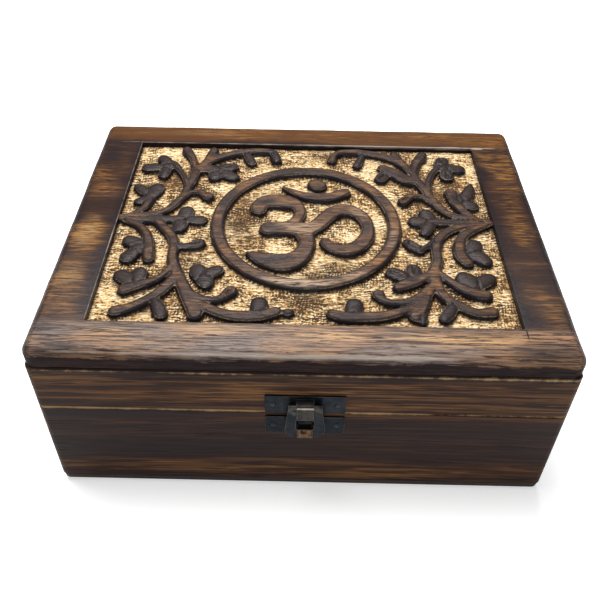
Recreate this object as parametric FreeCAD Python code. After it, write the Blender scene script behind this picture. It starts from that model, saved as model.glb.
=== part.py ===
import FreeCAD, Part
import math
import os

# Carved wooden keepsake box: a mitred base and lid of solid wood, two butt hinges let into the
# back seam and a snap latch on the front. Millimetres, +X to the right, +Y to the back, +Z up.
# The origin is the middle of the underside.

# Box and lid
box_length = 203.0
box_depth = 152.0
base_height = 51.5
rim_height = 23.0
board_thickness = 9.5
wall_thickness = 9.0
bottom_thickness = 4.0
bottom_inset = 0.4
bottom_arris = 1.5
corner_radius = 3.0
seam_arris = 0.7
foot_arris = 0.5
board_corner_radius = 4.5
board_top_radius = 4.0
board_under_arris = 1.5

# Carved field of the lid board
field_length = 162.0
field_breadth = 119.0
field_recess = 2.8
field_shift = -1.0
ring_outer_radius = 41.0
ring_band = 5.6
ring_shift = -0.6

# Strokes of the carving as runs of (x, y, half width). The sign's are shares of the ring's outer
# radius, from the ring's centre; the vine's are shares of the field's half length for x and of its
# half breadth for y and width, from the field's centre.
sign_stroke_shares = [
    # upper lobe
    [(-.507, .193, .083), (-.50, .27, .093), (-.415, .34, .105), (-.28, .35, .107), (-.146, .315, .088),
     (-.073, .222, .068), (-.068, .112, .063), (-.11, .015, .063), (-.16, -.06, .073)],
    # middle arm
    [(-.39, -.122, .095), (-.244, -.107, .093), (-.11, -.112, .105), (0, -.132, .11)],
    # lower lobe
    [(-.024, -.168, .102), (.007, -.278, .088), (.012, -.35, .085), (-.03, -.498, .095), (-.122, -.605, .115),
     (-.227, -.64, .12), (-.34, -.62, .107), (-.45, -.58, .083), (-.576, -.517, .024)],
    # tail
    [(.012, -.127, .088), (.11, -.059, .09), (.195, .051, .09), (.288, .166, .093), (.402, .22, .093),
     (.524, .18, .083), (.617, .068, .073), (.651, -.083, .066), (.62, -.241, .078), (.524, -.383, .088),
     (.378, -.434, .08), (.256, -.385, .071), (.2, -.312, .056)],
    # crescent and dot
    [(-.249, .59, .02), (-.159, .532, .039), (-.061, .468, .056), (.061, .434, .066), (.195, .43, .068),
     (.317, .459, .071), (.422, .524, .068)],
    [(.107, .666, .095), (.132, .646, .095)],
]
vine_stroke_shares = [
    # left side: stems up and down, arch, branches and curl
    [(-.99, .03, .030), (-.87, .055, .034), (-.79, .09, .030), (-.73, .17, .030), (-.69, .28, .030),
     (-.67, .40, .032), (-.65, .52, .036), (-.645, .63, .036)],
    [(-.96, .02, .030), (-.81, .005, .034), (-.755, -.065, .036), (-.71, -.14, .036), (-.68, -.225, .036),
     (-.673, -.31, .036), (-.67, -.39, .036), (-.655, -.465, .038), (-.63, -.55, .042)],
    [(-.645, .63, .034), (-.55, .80, .042), (-.46, .865, .038), (-.37, .91, .034), (-.29, .925, .034),
     (-.21, .915, .030), (-.178, .80, .037)],
    [(-.62, -.53, .040), (-.58, -.69, .046), (-.55, -.78, .050), (-.507, -.915, .050)],
    [(-.635, -.53, .040), (-.66, -.66, .040), (-.70, -.74, .040), (-.755, -.81, .036), (-.88, -.905, .042)],
    [(-.55, -.745, .036), (-.50, -.775, .030), (-.45, -.79, .026), (-.40, -.775, .028), (-.357, -.71, .046)],
    [(-.53, -.80, .036), (-.46, -.86, .036), (-.38, -.91, .040), (-.21, -.92, .044), (-.135, -.885, .040)],
    [(-.65, .62, .040), (-.58, .66, .048), (-.43, .695, .042)],
    [(-.655, .62, .024), (-.675, .79, .030), (-.725, .925, .036)],
    # right side, in the same order
    [(.985, .045, .030), (.90, .075, .034), (.81, .115, .032), (.755, .175, .032), (.715, .27, .034),
     (.67, .43, .036), (.63, .58, .036), (.618, .66, .034)],
    [(.96, .03, .030), (.84, 0, .034), (.755, -.055, .036), (.707, -.12, .037), (.678, -.20, .037),
     (.668, -.29, .037), (.665, -.38, .037), (.645, -.455, .040), (.637, -.61, .045)],
    [(.618, .65, .034), (.56, .79, .036), (.50, .855, .040), (.43, .895, .040), (.35, .925, .036),
     (.20, .925, .030), (.148, .81, .037)],
    [(.63, -.60, .040), (.585, -.69, .040), (.56, -.77, .050), (.518, -.90, .048)],
    [(.637, -.58, .040), (.652, -.67, .036), (.68, -.745, .036), (.738, -.81, .036), (.875, -.85, .045)],
    [(.59, -.68, .040), (.545, -.74, .040), (.483, -.775, .032), (.41, -.78, .026), (.352, -.715, .044)],
    [(.54, -.81, .036), (.455, -.86, .034), (.37, -.90, .040), (.275, -.915, .042), (.13, -.893, .038)],
    [(.62, .57, .040), (.56, .58, .055), (.45, .71, .046)],
    [(.62, .64, .028), (.637, .735, .034), (.695, .915, .038)],
]
# Leaves, drops and twigs, written as the vine is; a run of two points is a lobe from tip to root
leaf_stroke_shares = [
    # left side, upper
    [(-.68, .42, .026), (-.715, .58, .022), (-.765, .69, .030), (-.79, .725, .030)],
    [(-.855, .80, .036), (-.815, .73, .042)],
    [(-.935, .665, .040), (-.85, .665, .036)],
    [(-.825, .56, .035), (-.815, .65, .038)],
    [(-.82, .68, .045), (-.79, .70, .045)],
    [(-.955, .41, .025), (-.90, .345, .045)],
    [(-.84, .40, .048), (-.86, .30, .050)],
    [(-.925, .225, .034), (-.875, .245, .040)],
    [(-.87, .25, .040), (-.875, .165, .030), (-.905, .105, .026), (-.96, .05, .022)],
    [(-.71, .23, .026), (-.68, .29, .026), (-.64, .345, .024), (-.59, .345, .028), (-.545, .295, .044)],
    [(-.645, .125, .046), (-.655, .05, .045)],
    [(-.555, .015, .038), (-.62, .02, .036)],
    [(-.665, -.075, .044), (-.67, 0, .045)],
    [(-.85, .02, .034), (-.76, .02, .034), (-.66, .025, .035)],
    [(-.412, .55, .036), (-.48, .60, .050)],
    [(-.53, .545, .040), (-.52, .61, .050)],
    [(-.52, .63, .056), (-.48, .65, .056)],
    [(-.63, .67, .032), (-.59, .76, .036), (-.57, .85, .042), (-.56, .925, .034)],
    [(-.36, .87, .028), (-.323, .755, .036)],
    # left side, lower
    [(-.95, -.01, .026), (-.885, -.055, .030), (-.84, -.13, .032), (-.80, -.32, .042), (-.787, -.41, .037)],
    [(-.915, -.22, .042), (-.85, -.26, .045)],
    [(-.90, -.405, .046), (-.865, -.345, .040)],
    [(-.855, -.285, .050), (-.835, -.295, .050)],
    [(-.66, -.275, .028), (-.60, -.27, .032), (-.548, -.24, .044)],
    [(-.534, -.50, .046), (-.515, -.57, .050)],
    [(-.43, -.507, .040), (-.48, -.555, .042)],
    [(-.476, -.645, .040), (-.50, -.58, .052)],
    [(-.665, -.49, .030), (-.70, -.575, .028), (-.75, -.635, .032), (-.81, -.67, .040), (-.865, -.71, .044)],
    [(-.904, -.57, .044), (-.85, -.635, .042)],
    [(-.812, -.54, .043), (-.815, -.63, .042)],
    [(-.70, -.79, .034), (-.677, -.885, .044), (-.663, -.925, .040)],
    [(-.214, -.80, .045), (-.214, -.88, .042)],
    # right side, upper
    [(.61, .66, .030), (.585, .73, .034), (.557, .78, .038), (.535, .855, .044), (.523, .92, .028)],
    [(.685, .42, .028), (.697, .53, .028), (.728, .645, .027), (.785, .75, .032)],
    [(.809, .84, .046), (.79, .755, .045)],
    [(.90, .722, .045), (.835, .735, .040)],
    [(.815, .61, .044), (.815, .665, .044)],
    [(.79, .735, .045), (.815, .73, .045)],
    [(.90, .095, .028), (.86, .175, .034), (.835, .25, .042), (.82, .33, .046), (.815, .405, .048)],
    [(.937, .51, .016), (.92, .43, .045), (.885, .335, .055)],
    [(.925, .235, .036), (.875, .28, .046)],
    [(.845, .31, .060), (.865, .31, .060)],
    [(.725, .23, .026), (.69, .285, .026), (.645, .345, .024), (.59, .345, .030), (.54, .285, .043)],
    [(.645, .155, .038), (.67, .09, .048)],
    [(.58, .05, .044), (.645, .05, .044)],
    [(.63, -.075, .036), (.66, .01, .045)],
    [(.66, .045, .040), (.78, .045, .034), (.86, .045, .034)],
    [(.425, .565, .040), (.455, .635, .040)],
    [(.48, .64, .052), (.52, .625, .054)],
    [(.335, .90, .026), (.315, .82, .032), (.298, .75, .034)],
    # right side, lower
    [(.95, .015, .030), (.885, -.04, .034), (.825, -.11, .038), (.79, -.32, .045), (.815, -.39, .042)],
    [(.875, -.19, .046), (.862, -.27, .050)],
    [(.912, -.375, .042), (.865, -.29, .050)],
    [(.528, -.19, .034), (.552, -.227, .044), (.585, -.265, .038)],
    [(.59, -.262, .020), (.63, -.225, .022), (.67, -.17, .028)],
    [(.43, -.497, .042), (.485, -.545, .042)],
    [(.537, -.46, .045), (.537, -.545, .045)],
    [(.453, -.64, .038), (.53, -.585, .048), (.59, -.54, .034), (.637, -.49, .036)],
    [(.65, -.48, .032), (.70, -.56, .030), (.76, -.64, .034), (.825, -.69, .042), (.868, -.70, .042)],
    [(.775, -.53, .045), (.83, -.60, .058)],
    [(.91, -.535, .040), (.845, -.60, .050)],
    [(.236, -.795, .044), (.229, -.88, .042)],
    [(.70, -.78, .034), (.675, -.865, .044), (.65, -.912, .036)],
]
lobe_fullness_share = 0.24

# Hinges, with their pivot a little inside the back face
hinge_length = 24.0
hinge_set_in = 39.5
hinge_inset = 1.0
stop_angle = 106.0
leaf_width = 7.4
leaf_thickness = 0.9
leaf_clearance = 0.1
barrel_radius = 1.75
barrel_clearance = 0.3
knuckle_count = 5
knuckle_gap = 0.25
hinge_pin_radius = 0.8
hinge_pin_clearance = 0.05
hinge_pin_proud = 0.3

# Countersunk screws of the hinge leaves
screw_spacing = 15.0
screw_setback = 4.6
screw_head_radius = 1.5
screw_shank_radius = 0.75
screw_length = 8.0
screw_point = 1.5

# Brads of the bottom board
brad_head_radius = 1.1
brad_head_thickness = 0.5
brad_shank_radius = 0.6
brad_length = 16.0
brad_point = 1.2
brads_along_length = 3
brads_along_depth = 2

# Latch on the front face
latch_offset = 1.0
plate_length = 30.6
plate_height = 10.2
plate_thickness = 0.8
plate_corner_radius = 0.8
upper_plate_rise = 0.5
lower_plate_drop = 2.0
pivot_rise = 7.0
pivot_standoff = 3.0
flap_bar_radius = 1.1
strap_clearance = 0.1
strap_thickness = 0.8
strap_width = 6.4
strap_drop = 6.6
strap_curl_radius = 0.7
flap_thickness = 0.9
flap_top_width = 12.6
flap_bottom_width = 15.4
flap_reach = 18.2
flap_toe_radius = 4.6
window_clearance = 0.25
window_reach = 13.0
lip_width = 5.8
lip_bulge = 1.5
lip_thickness = 0.8
catch_width = 5.0
catch_thickness = 0.5
catch_setdown = 0.8
catch_tip_standoff = 4.2
catch_bend_radius = 1.0
catch_clearance = 0.4
nail_inset = 3.2
nail_head_radius = 1.15
nail_dome = 0.6
nail_shank_radius = 0.6
nail_length = 7.0
nail_point = 1.2

# How far cutting tools run past what they cut, and how close two heights count as equal
overrun = 3.0
same_height = 0.001

# Places worked out from the sizes above
seam_height = base_height
rim_top = base_height + rim_height
box_height = rim_top + board_thickness
half_length = box_length / 2
half_depth = box_depth / 2
hinge_y = half_depth - hinge_inset
strap_inner_radius = flap_bar_radius + strap_clearance
strap_outer_radius = strap_inner_radius + strap_thickness

along_x = FreeCAD.Vector(1, 0, 0)
along_y = FreeCAD.Vector(0, 1, 0)
along_z = FreeCAD.Vector(0, 0, 1)


def block(x_low, y_low, z_low, x_high, y_high, z_high):
    """Box between two corners."""
    corner = FreeCAD.Vector(x_low, y_low, z_low)
    return Part.makeBox(x_high - x_low, y_high - y_low, z_high - z_low, corner)


def rod_along_x(x_low, x_high, y, z, radius):
    """Cylinder along X."""
    return Part.makeCylinder(radius, x_high - x_low, FreeCAD.Vector(x_low, y, z), along_x)


def edges_at_height(shape, height):
    """Edges that lie in one level plane."""
    return [
        edge for edge in shape.Edges
        if all(abs(vertex.Z - height) < same_height for vertex in edge.Vertexes)
    ]


def upright_edges(shape):
    """Straight edges that run up and down."""
    return [
        edge for edge in shape.Edges
        if len(edge.Vertexes) == 2
        and abs(edge.Vertexes[0].X - edge.Vertexes[1].X) < same_height
        and abs(edge.Vertexes[0].Y - edge.Vertexes[1].Y) < same_height
    ]


def rounded_slab(length, depth, low, high, upright_radius):
    """Level slab centred on the box, with its upright corners rounded."""
    shape = block(-length / 2, -depth / 2, low, length / 2, depth / 2, high)
    return shape.makeFillet(upright_radius, upright_edges(shape))


def broken_arris(shape, height, arris):
    """Takes the sharpness off the outer edge at one height with a small bevel."""
    return shape.makeChamfer(arris, edges_at_height(shape, height))


def mitre_wedge(points):
    """Tall prism whose slanted sides are the mitre planes of one wall."""
    corners = [FreeCAD.Vector(x, y, -overrun) for x, y in points]
    face = Part.Face(Part.makePolygon(corners + corners[:1]))
    return face.extrude(along_z * (box_height + 2 * overrun))


def mitre_wedges():
    """One wedge for each wall, keyed by the wall's side."""
    reach = wall_thickness + overrun
    out_x = half_length + overrun
    out_y = half_depth + overrun
    in_x = half_length - reach
    in_y = half_depth - reach
    return {
        "front": mitre_wedge([(-out_x, -out_y), (out_x, -out_y), (in_x, -in_y), (-in_x, -in_y)]),
        "back": mitre_wedge([(out_x, out_y), (-out_x, out_y), (-in_x, in_y), (in_x, in_y)]),
        "left": mitre_wedge([(-out_x, out_y), (-out_x, -out_y), (-in_x, -in_y), (-in_x, in_y)]),
        "right": mitre_wedge([(out_x, -out_y), (out_x, out_y), (in_x, in_y), (in_x, -in_y)]),
    }


def stop_groove():
    """Bevels of the back seam, on which the open lid comes to rest."""
    out = hinge_inset + overrun
    rise = out * math.tan(math.radians(stop_angle / 2))
    start_x = -half_length - overrun
    apex = FreeCAD.Vector(start_x, hinge_y, seam_height)
    upper = FreeCAD.Vector(start_x, hinge_y + out, seam_height + rise)
    lower = FreeCAD.Vector(start_x, hinge_y + out, seam_height - rise)
    face = Part.Face(Part.makePolygon([apex, upper, lower, apex]))
    return face.extrude(along_x * (box_length + 2 * overrun))


def wall_ring(low, high, low_arris, high_arris):
    """Four walls in one piece, before the mitres part them."""
    outer = rounded_slab(box_length, box_depth, low, high, corner_radius)
    outer = broken_arris(broken_arris(outer, low, low_arris), high, high_arris)
    hollow_x = half_length - wall_thickness
    hollow_y = half_depth - wall_thickness
    hollow = block(-hollow_x, -hollow_y, low - overrun, hollow_x, hollow_y, high + overrun)
    return outer.cut(hollow).cut(stop_groove())


def walls(ring):
    """Mitred walls of a ring, keyed by side."""
    return {side: ring.common(wedge).Solids[0] for side, wedge in mitre_wedges().items()}


def turned(profile, place, head_direction):
    """Small fastener turned from a half profile of (radius, height), head up, then put in place."""
    points = [FreeCAD.Vector(radius, 0, height) for radius, height in profile]
    face = Part.Face(Part.makePolygon(points + points[:1]))
    shape = face.revolve(FreeCAD.Vector(), along_z, 360)
    turn = FreeCAD.Rotation(along_z, head_direction)
    shape.Placement = FreeCAD.Placement(place, turn)
    return shape


def screw(place, head_direction):
    """Countersunk screw with its head level with the leaf."""
    return turned([
        (0, 0),
        (screw_head_radius, 0),
        (screw_shank_radius, -leaf_thickness),
        (screw_shank_radius, screw_point - screw_length),
        (0, -screw_length),
    ], place, head_direction)


def brad(place):
    """Flat-headed brad driven up through the bottom board."""
    return turned([
        (0, 0),
        (brad_head_radius, 0),
        (brad_head_radius, -brad_head_thickness),
        (brad_shank_radius, -brad_head_thickness),
        (brad_shank_radius, brad_point - brad_length),
        (0, -brad_length),
    ], place, -along_z)


def nail(place):
    """Dome-headed nail of the latch, driven into the front."""
    crown = FreeCAD.Vector(0, 0, nail_dome)
    rim = FreeCAD.Vector(nail_head_radius, 0, 0)
    sphere_radius = (nail_head_radius ** 2 + nail_dome ** 2) / (2 * nail_dome)
    half_turn = math.asin(nail_head_radius / sphere_radius) / 2
    mid_height = nail_dome - sphere_radius * (1 - math.cos(half_turn))
    middle = FreeCAD.Vector(sphere_radius * math.sin(half_turn), 0, mid_height)
    neck = FreeCAD.Vector(nail_shank_radius, 0, 0)
    shoulder = FreeCAD.Vector(nail_shank_radius, 0, nail_point - nail_length)
    tip = FreeCAD.Vector(0, 0, -nail_length)
    outline = [
        Part.Arc(crown, middle, rim).toShape(),
        Part.makePolygon([rim, neck, shoulder, tip, crown]),
    ]
    edges = [edge for shape in outline for edge in shape.Edges]
    shape = Part.Face(Part.Wire(edges)).revolve(FreeCAD.Vector(), along_z, 360)
    shape.Placement = FreeCAD.Placement(place, FreeCAD.Rotation(along_z, -along_y))
    return shape


# Carving of the lid board

def stroke_side(points):
    """One long side of a stroke: a straight line, or a smooth curve through its points."""
    if len(points) == 2:
        return Part.makeLine(*points)
    curve = Part.BSplineCurve()
    curve.interpolate(points)
    return curve.toShape()


def stroke_frame(points):
    """Middles, directions and half widths of a stroke on the field's floor."""
    floor = box_height - field_recess
    middles = [FreeCAD.Vector(x, y, floor) for x, y, _ in points]
    ways = [
        (after - before).normalize()
        for before, after in zip(middles[:1] + middles[:-1], middles[1:] + middles[-1:])
    ]
    return middles, ways, [half_width for _, _, half_width in points]


def stroke(points):
    """Prism of one carved stroke from its middle points and half widths, with round ends."""
    middles, ways, half_widths = stroke_frame(points)
    sides = {
        side: [
            middle + FreeCAD.Vector(-way.y, way.x, 0) * (side * half_width)
            for middle, way, half_width in zip(middles, ways, half_widths)
        ]
        for side in (-1, 1)
    }
    start_tip = middles[0] - ways[0] * half_widths[0]
    end_tip = middles[-1] + ways[-1] * half_widths[-1]
    outline = Part.Wire([
        Part.Arc(sides[-1][0], start_tip, sides[1][0]).toShape(),
        stroke_side(sides[1]),
        Part.Arc(sides[1][-1], end_tip, sides[-1][-1]).toShape(),
        stroke_side(sides[-1][::-1]),
    ])
    return Part.Face(outline).extrude(along_z * (field_recess + overrun))


def oval_lobe(tip, root):
    """Points of a lobe that is fuller in its middle, with its ends kept where they are."""
    (tip_x, tip_y, tip_width), (root_x, root_y, root_width) = tip, root
    run = math.hypot(root_x - tip_x, root_y - tip_y)
    drawn_in = tip_width * lobe_fullness_share / run
    return [
        (tip_x + (root_x - tip_x) * drawn_in, tip_y + (root_y - tip_y) * drawn_in,
         tip_width * (1 + lobe_fullness_share)),
        ((tip_x + root_x) / 2, (tip_y + root_y) / 2, (tip_width + root_width) / 2 * (1 + lobe_fullness_share)),
        root,
    ]


def leaf(points):
    """Prism of a small carved stroke, with straight sides and blunt ends of few faces."""
    if len(points) == 2:
        points = oval_lobe(*points)
    middles, ways, half_widths = stroke_frame(points)

    def rim(index, angle):
        way = FreeCAD.Rotation(along_z, angle).multVec(ways[index])
        return middles[index] + way * half_widths[index]

    inner = range(len(points))
    last = len(points) - 1
    corners = [rim(index, -90) for index in inner]
    corners += [rim(last, angle) for angle in (-45, 0, 45)]
    corners += [rim(index, 90) for index in reversed(inner)]
    corners += [rim(0, angle) for angle in (135, 180, 225)]
    outline = Part.makePolygon(corners + corners[:1])
    return Part.Face(outline).extrude(along_z * (field_recess + overrun))


def carved_islands():
    """Raised parts of the carving: a list of prisms that stand on the field's floor."""
    floor = box_height - field_recess
    centre = FreeCAD.Vector(0, ring_shift, floor)
    disc = Part.makeCylinder(ring_outer_radius, field_recess + overrun, centre)
    ring = disc.cut(Part.makeCylinder(ring_outer_radius - ring_band, field_recess + overrun, centre))
    sign = [
        stroke([(x * ring_outer_radius, ring_shift + y * ring_outer_radius, width * ring_outer_radius)
                for x, y, width in shares])
        for shares in sign_stroke_shares
    ]
    half_x = field_length / 2
    half_y = field_breadth / 2

    def in_field(shares):
        return [(x * half_x, field_shift + y * half_y, width * half_y) for x, y, width in shares]

    stems = [stroke(in_field(shares)) for shares in vine_stroke_shares]
    leaves = [leaf(in_field(shares)) for shares in leaf_stroke_shares]
    return [ring] + sign + stems + leaves


def lid_board():
    """Thick plank with rounded edges and a carved, sunk field."""
    board = rounded_slab(box_length, box_depth, rim_top, box_height, board_corner_radius)
    board = board.makeFillet(board_top_radius, edges_at_height(board, box_height))
    board = broken_arris(board, rim_top, board_under_arris)
    half_x = field_length / 2
    half_y = field_breadth / 2
    ground = block(-half_x, field_shift - half_y, box_height - field_recess,
                   half_x, field_shift + half_y, box_height + overrun)
    for island in carved_islands():
        ground = ground.cut(island)
    # The cut hands back the removed ground and a sliver as loose solids too: only the board is kept
    return max(board.cut(ground).Solids, key=lambda solid: solid.Volume)


# Hinges

def hinge_centres():
    """Places of the two hinges along the back."""
    reach = half_length - hinge_set_in
    return {"left": -reach, "right": reach}


def knuckle_span(centre, index):
    """Ends of one knuckle of the barrel."""
    pitch = hinge_length / knuckle_count
    start = centre - hinge_length / 2 + index * pitch
    return start + knuckle_gap / 2, start + pitch - knuckle_gap / 2


def hinge_screw_places(centre):
    """Middle of each screw head, in the plane of the seam."""
    return [
        FreeCAD.Vector(centre + side * screw_spacing / 2, hinge_y - screw_setback, seam_height)
        for side in (-1, 1)
    ]


def hinge_leaf(centre, side):
    """Leaf with its share of the knuckles; side is -1 for the base and 1 for the lid."""
    low = seam_height + min(side, 0) * leaf_thickness
    half = hinge_length / 2
    leaf = block(centre - half, hinge_y - leaf_width, low, centre + half, hinge_y, low + leaf_thickness)
    for index in range(knuckle_count):
        start, end = knuckle_span(centre, index)
        own = (index % 2 == 0) == (side < 0)
        if own:
            leaf = leaf.fuse(rod_along_x(start, end, hinge_y, seam_height, barrel_radius))
        else:
            room = barrel_radius + barrel_clearance
            leaf = leaf.cut(rod_along_x(start - knuckle_gap, end + knuckle_gap, hinge_y, seam_height, room))
    bore = hinge_pin_radius + hinge_pin_clearance
    leaf = leaf.cut(rod_along_x(centre - half - overrun, centre + half + overrun, hinge_y, seam_height, bore))
    for place in hinge_screw_places(centre):
        leaf = leaf.cut(screw(place, along_z * -side))
    return leaf.removeSplitter()


def hinge_pin(centre):
    """Pin of the barrel, a little proud at both ends."""
    half = hinge_length / 2 + hinge_pin_proud
    pin = rod_along_x(centre - half, centre + half, hinge_y, seam_height, hinge_pin_radius)
    return pin.makeChamfer(hinge_pin_proud, [edge for edge in pin.Edges if len(edge.Vertexes) == 1])


def hinge_seat(centre):
    """Room for both leaves and for the barrel, cut from the base and the lid alike."""
    half = hinge_length / 2 + leaf_clearance
    mortise = block(centre - half, hinge_y - leaf_width - leaf_clearance, seam_height - leaf_thickness,
                    centre + half, hinge_y, seam_height + leaf_thickness)
    reach = hinge_length / 2 + hinge_pin_proud + barrel_clearance
    room = barrel_radius + barrel_clearance
    return mortise.fuse(rod_along_x(centre - reach, centre + reach, hinge_y, seam_height, room))


# Latch

def latch_point(out, up):
    """Point in the latch's middle plane: out from the front face, up from the seam."""
    return FreeCAD.Vector(latch_offset, -half_depth - out, seam_height + up)


def side_strip(edges, width):
    """Solid from a closed side view, centred across the latch."""
    face = Part.Face(Part.Wire(edges))
    face.translate(along_x * (-width / 2))
    return face.extrude(along_x * width)


def quarter(centre_out, centre_up, radius, start_angle, end_angle):
    """Arc in the side view; angles in degrees from straight out, turning up."""
    middle_angle = (start_angle + end_angle) / 2
    points = []
    for angle in (start_angle, middle_angle, end_angle):
        turn = math.radians(angle)
        points.append(latch_point(centre_out + radius * math.cos(turn), centre_up + radius * math.sin(turn)))
    return Part.Arc(*points).toShape()


def joined(*pieces):
    """Closed run of edges from arcs and points, with straight lines in between."""
    edges = []
    ends = []
    for piece in pieces:
        if isinstance(piece, FreeCAD.Vector):
            ends.append((piece, piece))
        else:
            edges.append(piece)
            ends.append((piece.valueAt(piece.FirstParameter), piece.valueAt(piece.LastParameter)))
    for index, (start, _) in enumerate(ends):
        previous_end = ends[index - 1][1]
        if previous_end.distanceToPoint(start) > same_height:
            edges.append(Part.makeLine(previous_end, start))
    return Part.__sortEdges__(edges)


def latch_plate(low):
    """Flat plate against the front face, with rounded corners."""
    half = plate_length / 2
    plate = block(latch_offset - half, -half_depth - plate_thickness, seam_height + low,
                  latch_offset + half, -half_depth, seam_height + low + plate_height)
    corners = [
        edge for edge in plate.Edges
        if abs(edge.Vertexes[0].Y - edge.Vertexes[1].Y) > same_height
    ]
    return plate.makeFillet(plate_corner_radius, corners)


def latch_nail_places(low):
    """Middle of each nail head, on the plate's outer face."""
    reach = plate_length / 2 - nail_inset
    height = seam_height + low + plate_height / 2
    return [
        FreeCAD.Vector(latch_offset + side * reach, -half_depth - plate_thickness, height)
        for side in (-1, 1)
    ]


def strap():
    """Strap that comes out of the upper plate, bends over the flap's bar and hangs down before it."""
    inner = strap_inner_radius
    outer = strap_outer_radius
    end = pivot_rise - strap_drop
    curl_out = pivot_standoff + inner - strap_curl_radius
    curl_up = end + strap_thickness + strap_curl_radius
    return side_strip(joined(
        latch_point(0, pivot_rise + outer),
        quarter(pivot_standoff, pivot_rise, outer, 90, 0),
        quarter(curl_out, curl_up, strap_curl_radius + strap_thickness, 0, -90),
        quarter(curl_out, curl_up, strap_curl_radius, -90, 0),
        quarter(pivot_standoff, pivot_rise, inner, 0, 90),
        latch_point(0, pivot_rise + inner),
    ), strap_width)


def latch_upper_plate():
    """Plate on the lid with the strap that carries the flap."""
    plate = latch_plate(upper_plate_rise)
    for place in latch_nail_places(upper_plate_rise):
        plate = plate.cut(nail(place))
    return plate.fuse(strap()).removeSplitter()


def flap_outline():
    """Front view of the flap: narrow at the bar, wider and rounded at the toe."""
    top = pivot_rise
    toe = pivot_rise - flap_reach
    half_top = flap_top_width / 2
    half_toe = flap_bottom_width / 2
    shoulder = toe + flap_toe_radius
    diagonal = flap_toe_radius * math.sqrt(0.5)

    def at(x, up):
        return FreeCAD.Vector(latch_offset + x, -half_depth, seam_height + up)

    def toe_arc(side):
        centre = half_toe - flap_toe_radius
        return Part.Arc(at(side * half_toe, shoulder),
                        at(side * (centre + diagonal), shoulder - diagonal),
                        at(side * centre, toe)).toShape()

    right = toe_arc(1)
    left = toe_arc(-1)
    return Part.Face(Part.Wire(Part.__sortEdges__([
        Part.makeLine(at(-half_top, top), at(half_top, top)),
        Part.makeLine(at(half_top, top), at(half_toe, shoulder)),
        right,
        Part.makeLine(at(half_toe - flap_toe_radius, toe), at(flap_toe_radius - half_toe, toe)),
        left,
        Part.makeLine(at(-half_toe, shoulder), at(-half_top, top)),
    ])))


def flap_lip():
    """Finger lip: the strip under the window, pressed out in a shallow bow."""
    top = pivot_rise - window_reach
    toe = pivot_rise - flap_reach
    face_out = pivot_standoff - flap_thickness / 2
    chord = top - toe
    radius = (chord ** 2 / 4 + lip_bulge ** 2) / (2 * lip_bulge)
    middle = (top + toe) / 2
    crest = face_out + lip_bulge
    inner_arc = Part.Arc(latch_point(face_out, top), latch_point(crest, middle), latch_point(face_out, toe))
    half_angle = math.asin(chord / 2 / radius)
    centre_out = crest - radius
    outer = radius + lip_thickness
    outer_out = centre_out + outer * math.cos(half_angle)
    outer_rise = outer * math.sin(half_angle)
    outer_arc = Part.Arc(latch_point(outer_out, middle - outer_rise),
                         latch_point(centre_out + outer, middle),
                         latch_point(outer_out, middle + outer_rise))
    bow = side_strip(joined(inner_arc.toShape(), outer_arc.toShape()), lip_width)
    half = lip_width / 2
    front = -half_depth - centre_out - outer - overrun
    return bow.common(block(latch_offset - half, front, seam_height + toe,
                            latch_offset + half, -half_depth, seam_height + top))


def latch_flap():
    """Flap with its rolled bar, its window for strap and catch, and its finger lip."""
    plate = flap_outline()
    plate.translate(along_y * (flap_thickness / 2 - pivot_standoff))
    plate = plate.extrude(along_y * -flap_thickness)
    half_window = strap_width / 2 + window_clearance
    near = -half_depth - pivot_standoff - flap_thickness
    far = -half_depth - pivot_standoff + flap_thickness
    window = block(latch_offset - half_window, near, seam_height + pivot_rise - window_reach,
                   latch_offset + half_window, far, seam_height + pivot_rise + overrun)
    half_lip = lip_width / 2
    lip_room = block(latch_offset - half_lip, near, seam_height + pivot_rise - flap_reach - overrun,
                     latch_offset + half_lip, far, seam_height + pivot_rise - window_reach)
    half_bar = flap_top_width / 2
    bar = rod_along_x(latch_offset - half_bar, latch_offset + half_bar,
                      -half_depth - pivot_standoff, seam_height + pivot_rise, flap_bar_radius)
    return plate.cut(window).cut(lip_room).fuse([bar, flap_lip()]).removeSplitter()


def latch_lower_plate():
    """Plate on the base that carries the catch."""
    low = -lower_plate_drop - plate_height
    plate = latch_plate(low)
    for place in latch_nail_places(low):
        plate = plate.cut(nail(place))
    return plate


def latch_catch():
    """Springy catch: a foot on the lower plate and a tongue out through the flap's window."""
    face = plate_thickness
    foot_top = -lower_plate_drop - catch_setdown
    tongue_low = pivot_rise - window_reach + catch_clearance
    tongue_high = tongue_low + catch_thickness
    bend_out = face + catch_thickness + catch_bend_radius
    bend_up = tongue_high + catch_bend_radius
    return side_strip(joined(
        latch_point(face, foot_top),
        latch_point(face + catch_thickness, foot_top),
        quarter(bend_out, bend_up, catch_bend_radius, 180, 270),
        latch_point(catch_tip_standoff, tongue_high),
        latch_point(catch_tip_standoff, tongue_low),
        quarter(bend_out, bend_up, catch_bend_radius + catch_thickness, 270, 180),
    ), catch_width)


# Whole box

def brad_places():
    """Brad heads under the middle of the walls, evenly spaced along each."""
    inset = wall_thickness / 2
    reach_x = half_length - inset
    reach_y = half_depth - inset
    pitch_x = box_length / brads_along_length
    pitch_y = box_depth / brads_along_depth
    places = []
    for side in (-1, 1):
        for index in range(brads_along_length):
            places.append(FreeCAD.Vector((index + 0.5) * pitch_x - half_length, side * reach_y, 0))
        for index in range(brads_along_depth):
            places.append(FreeCAD.Vector(side * reach_x, (index + 0.5) * pitch_y - half_depth, 0))
    return places


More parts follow.
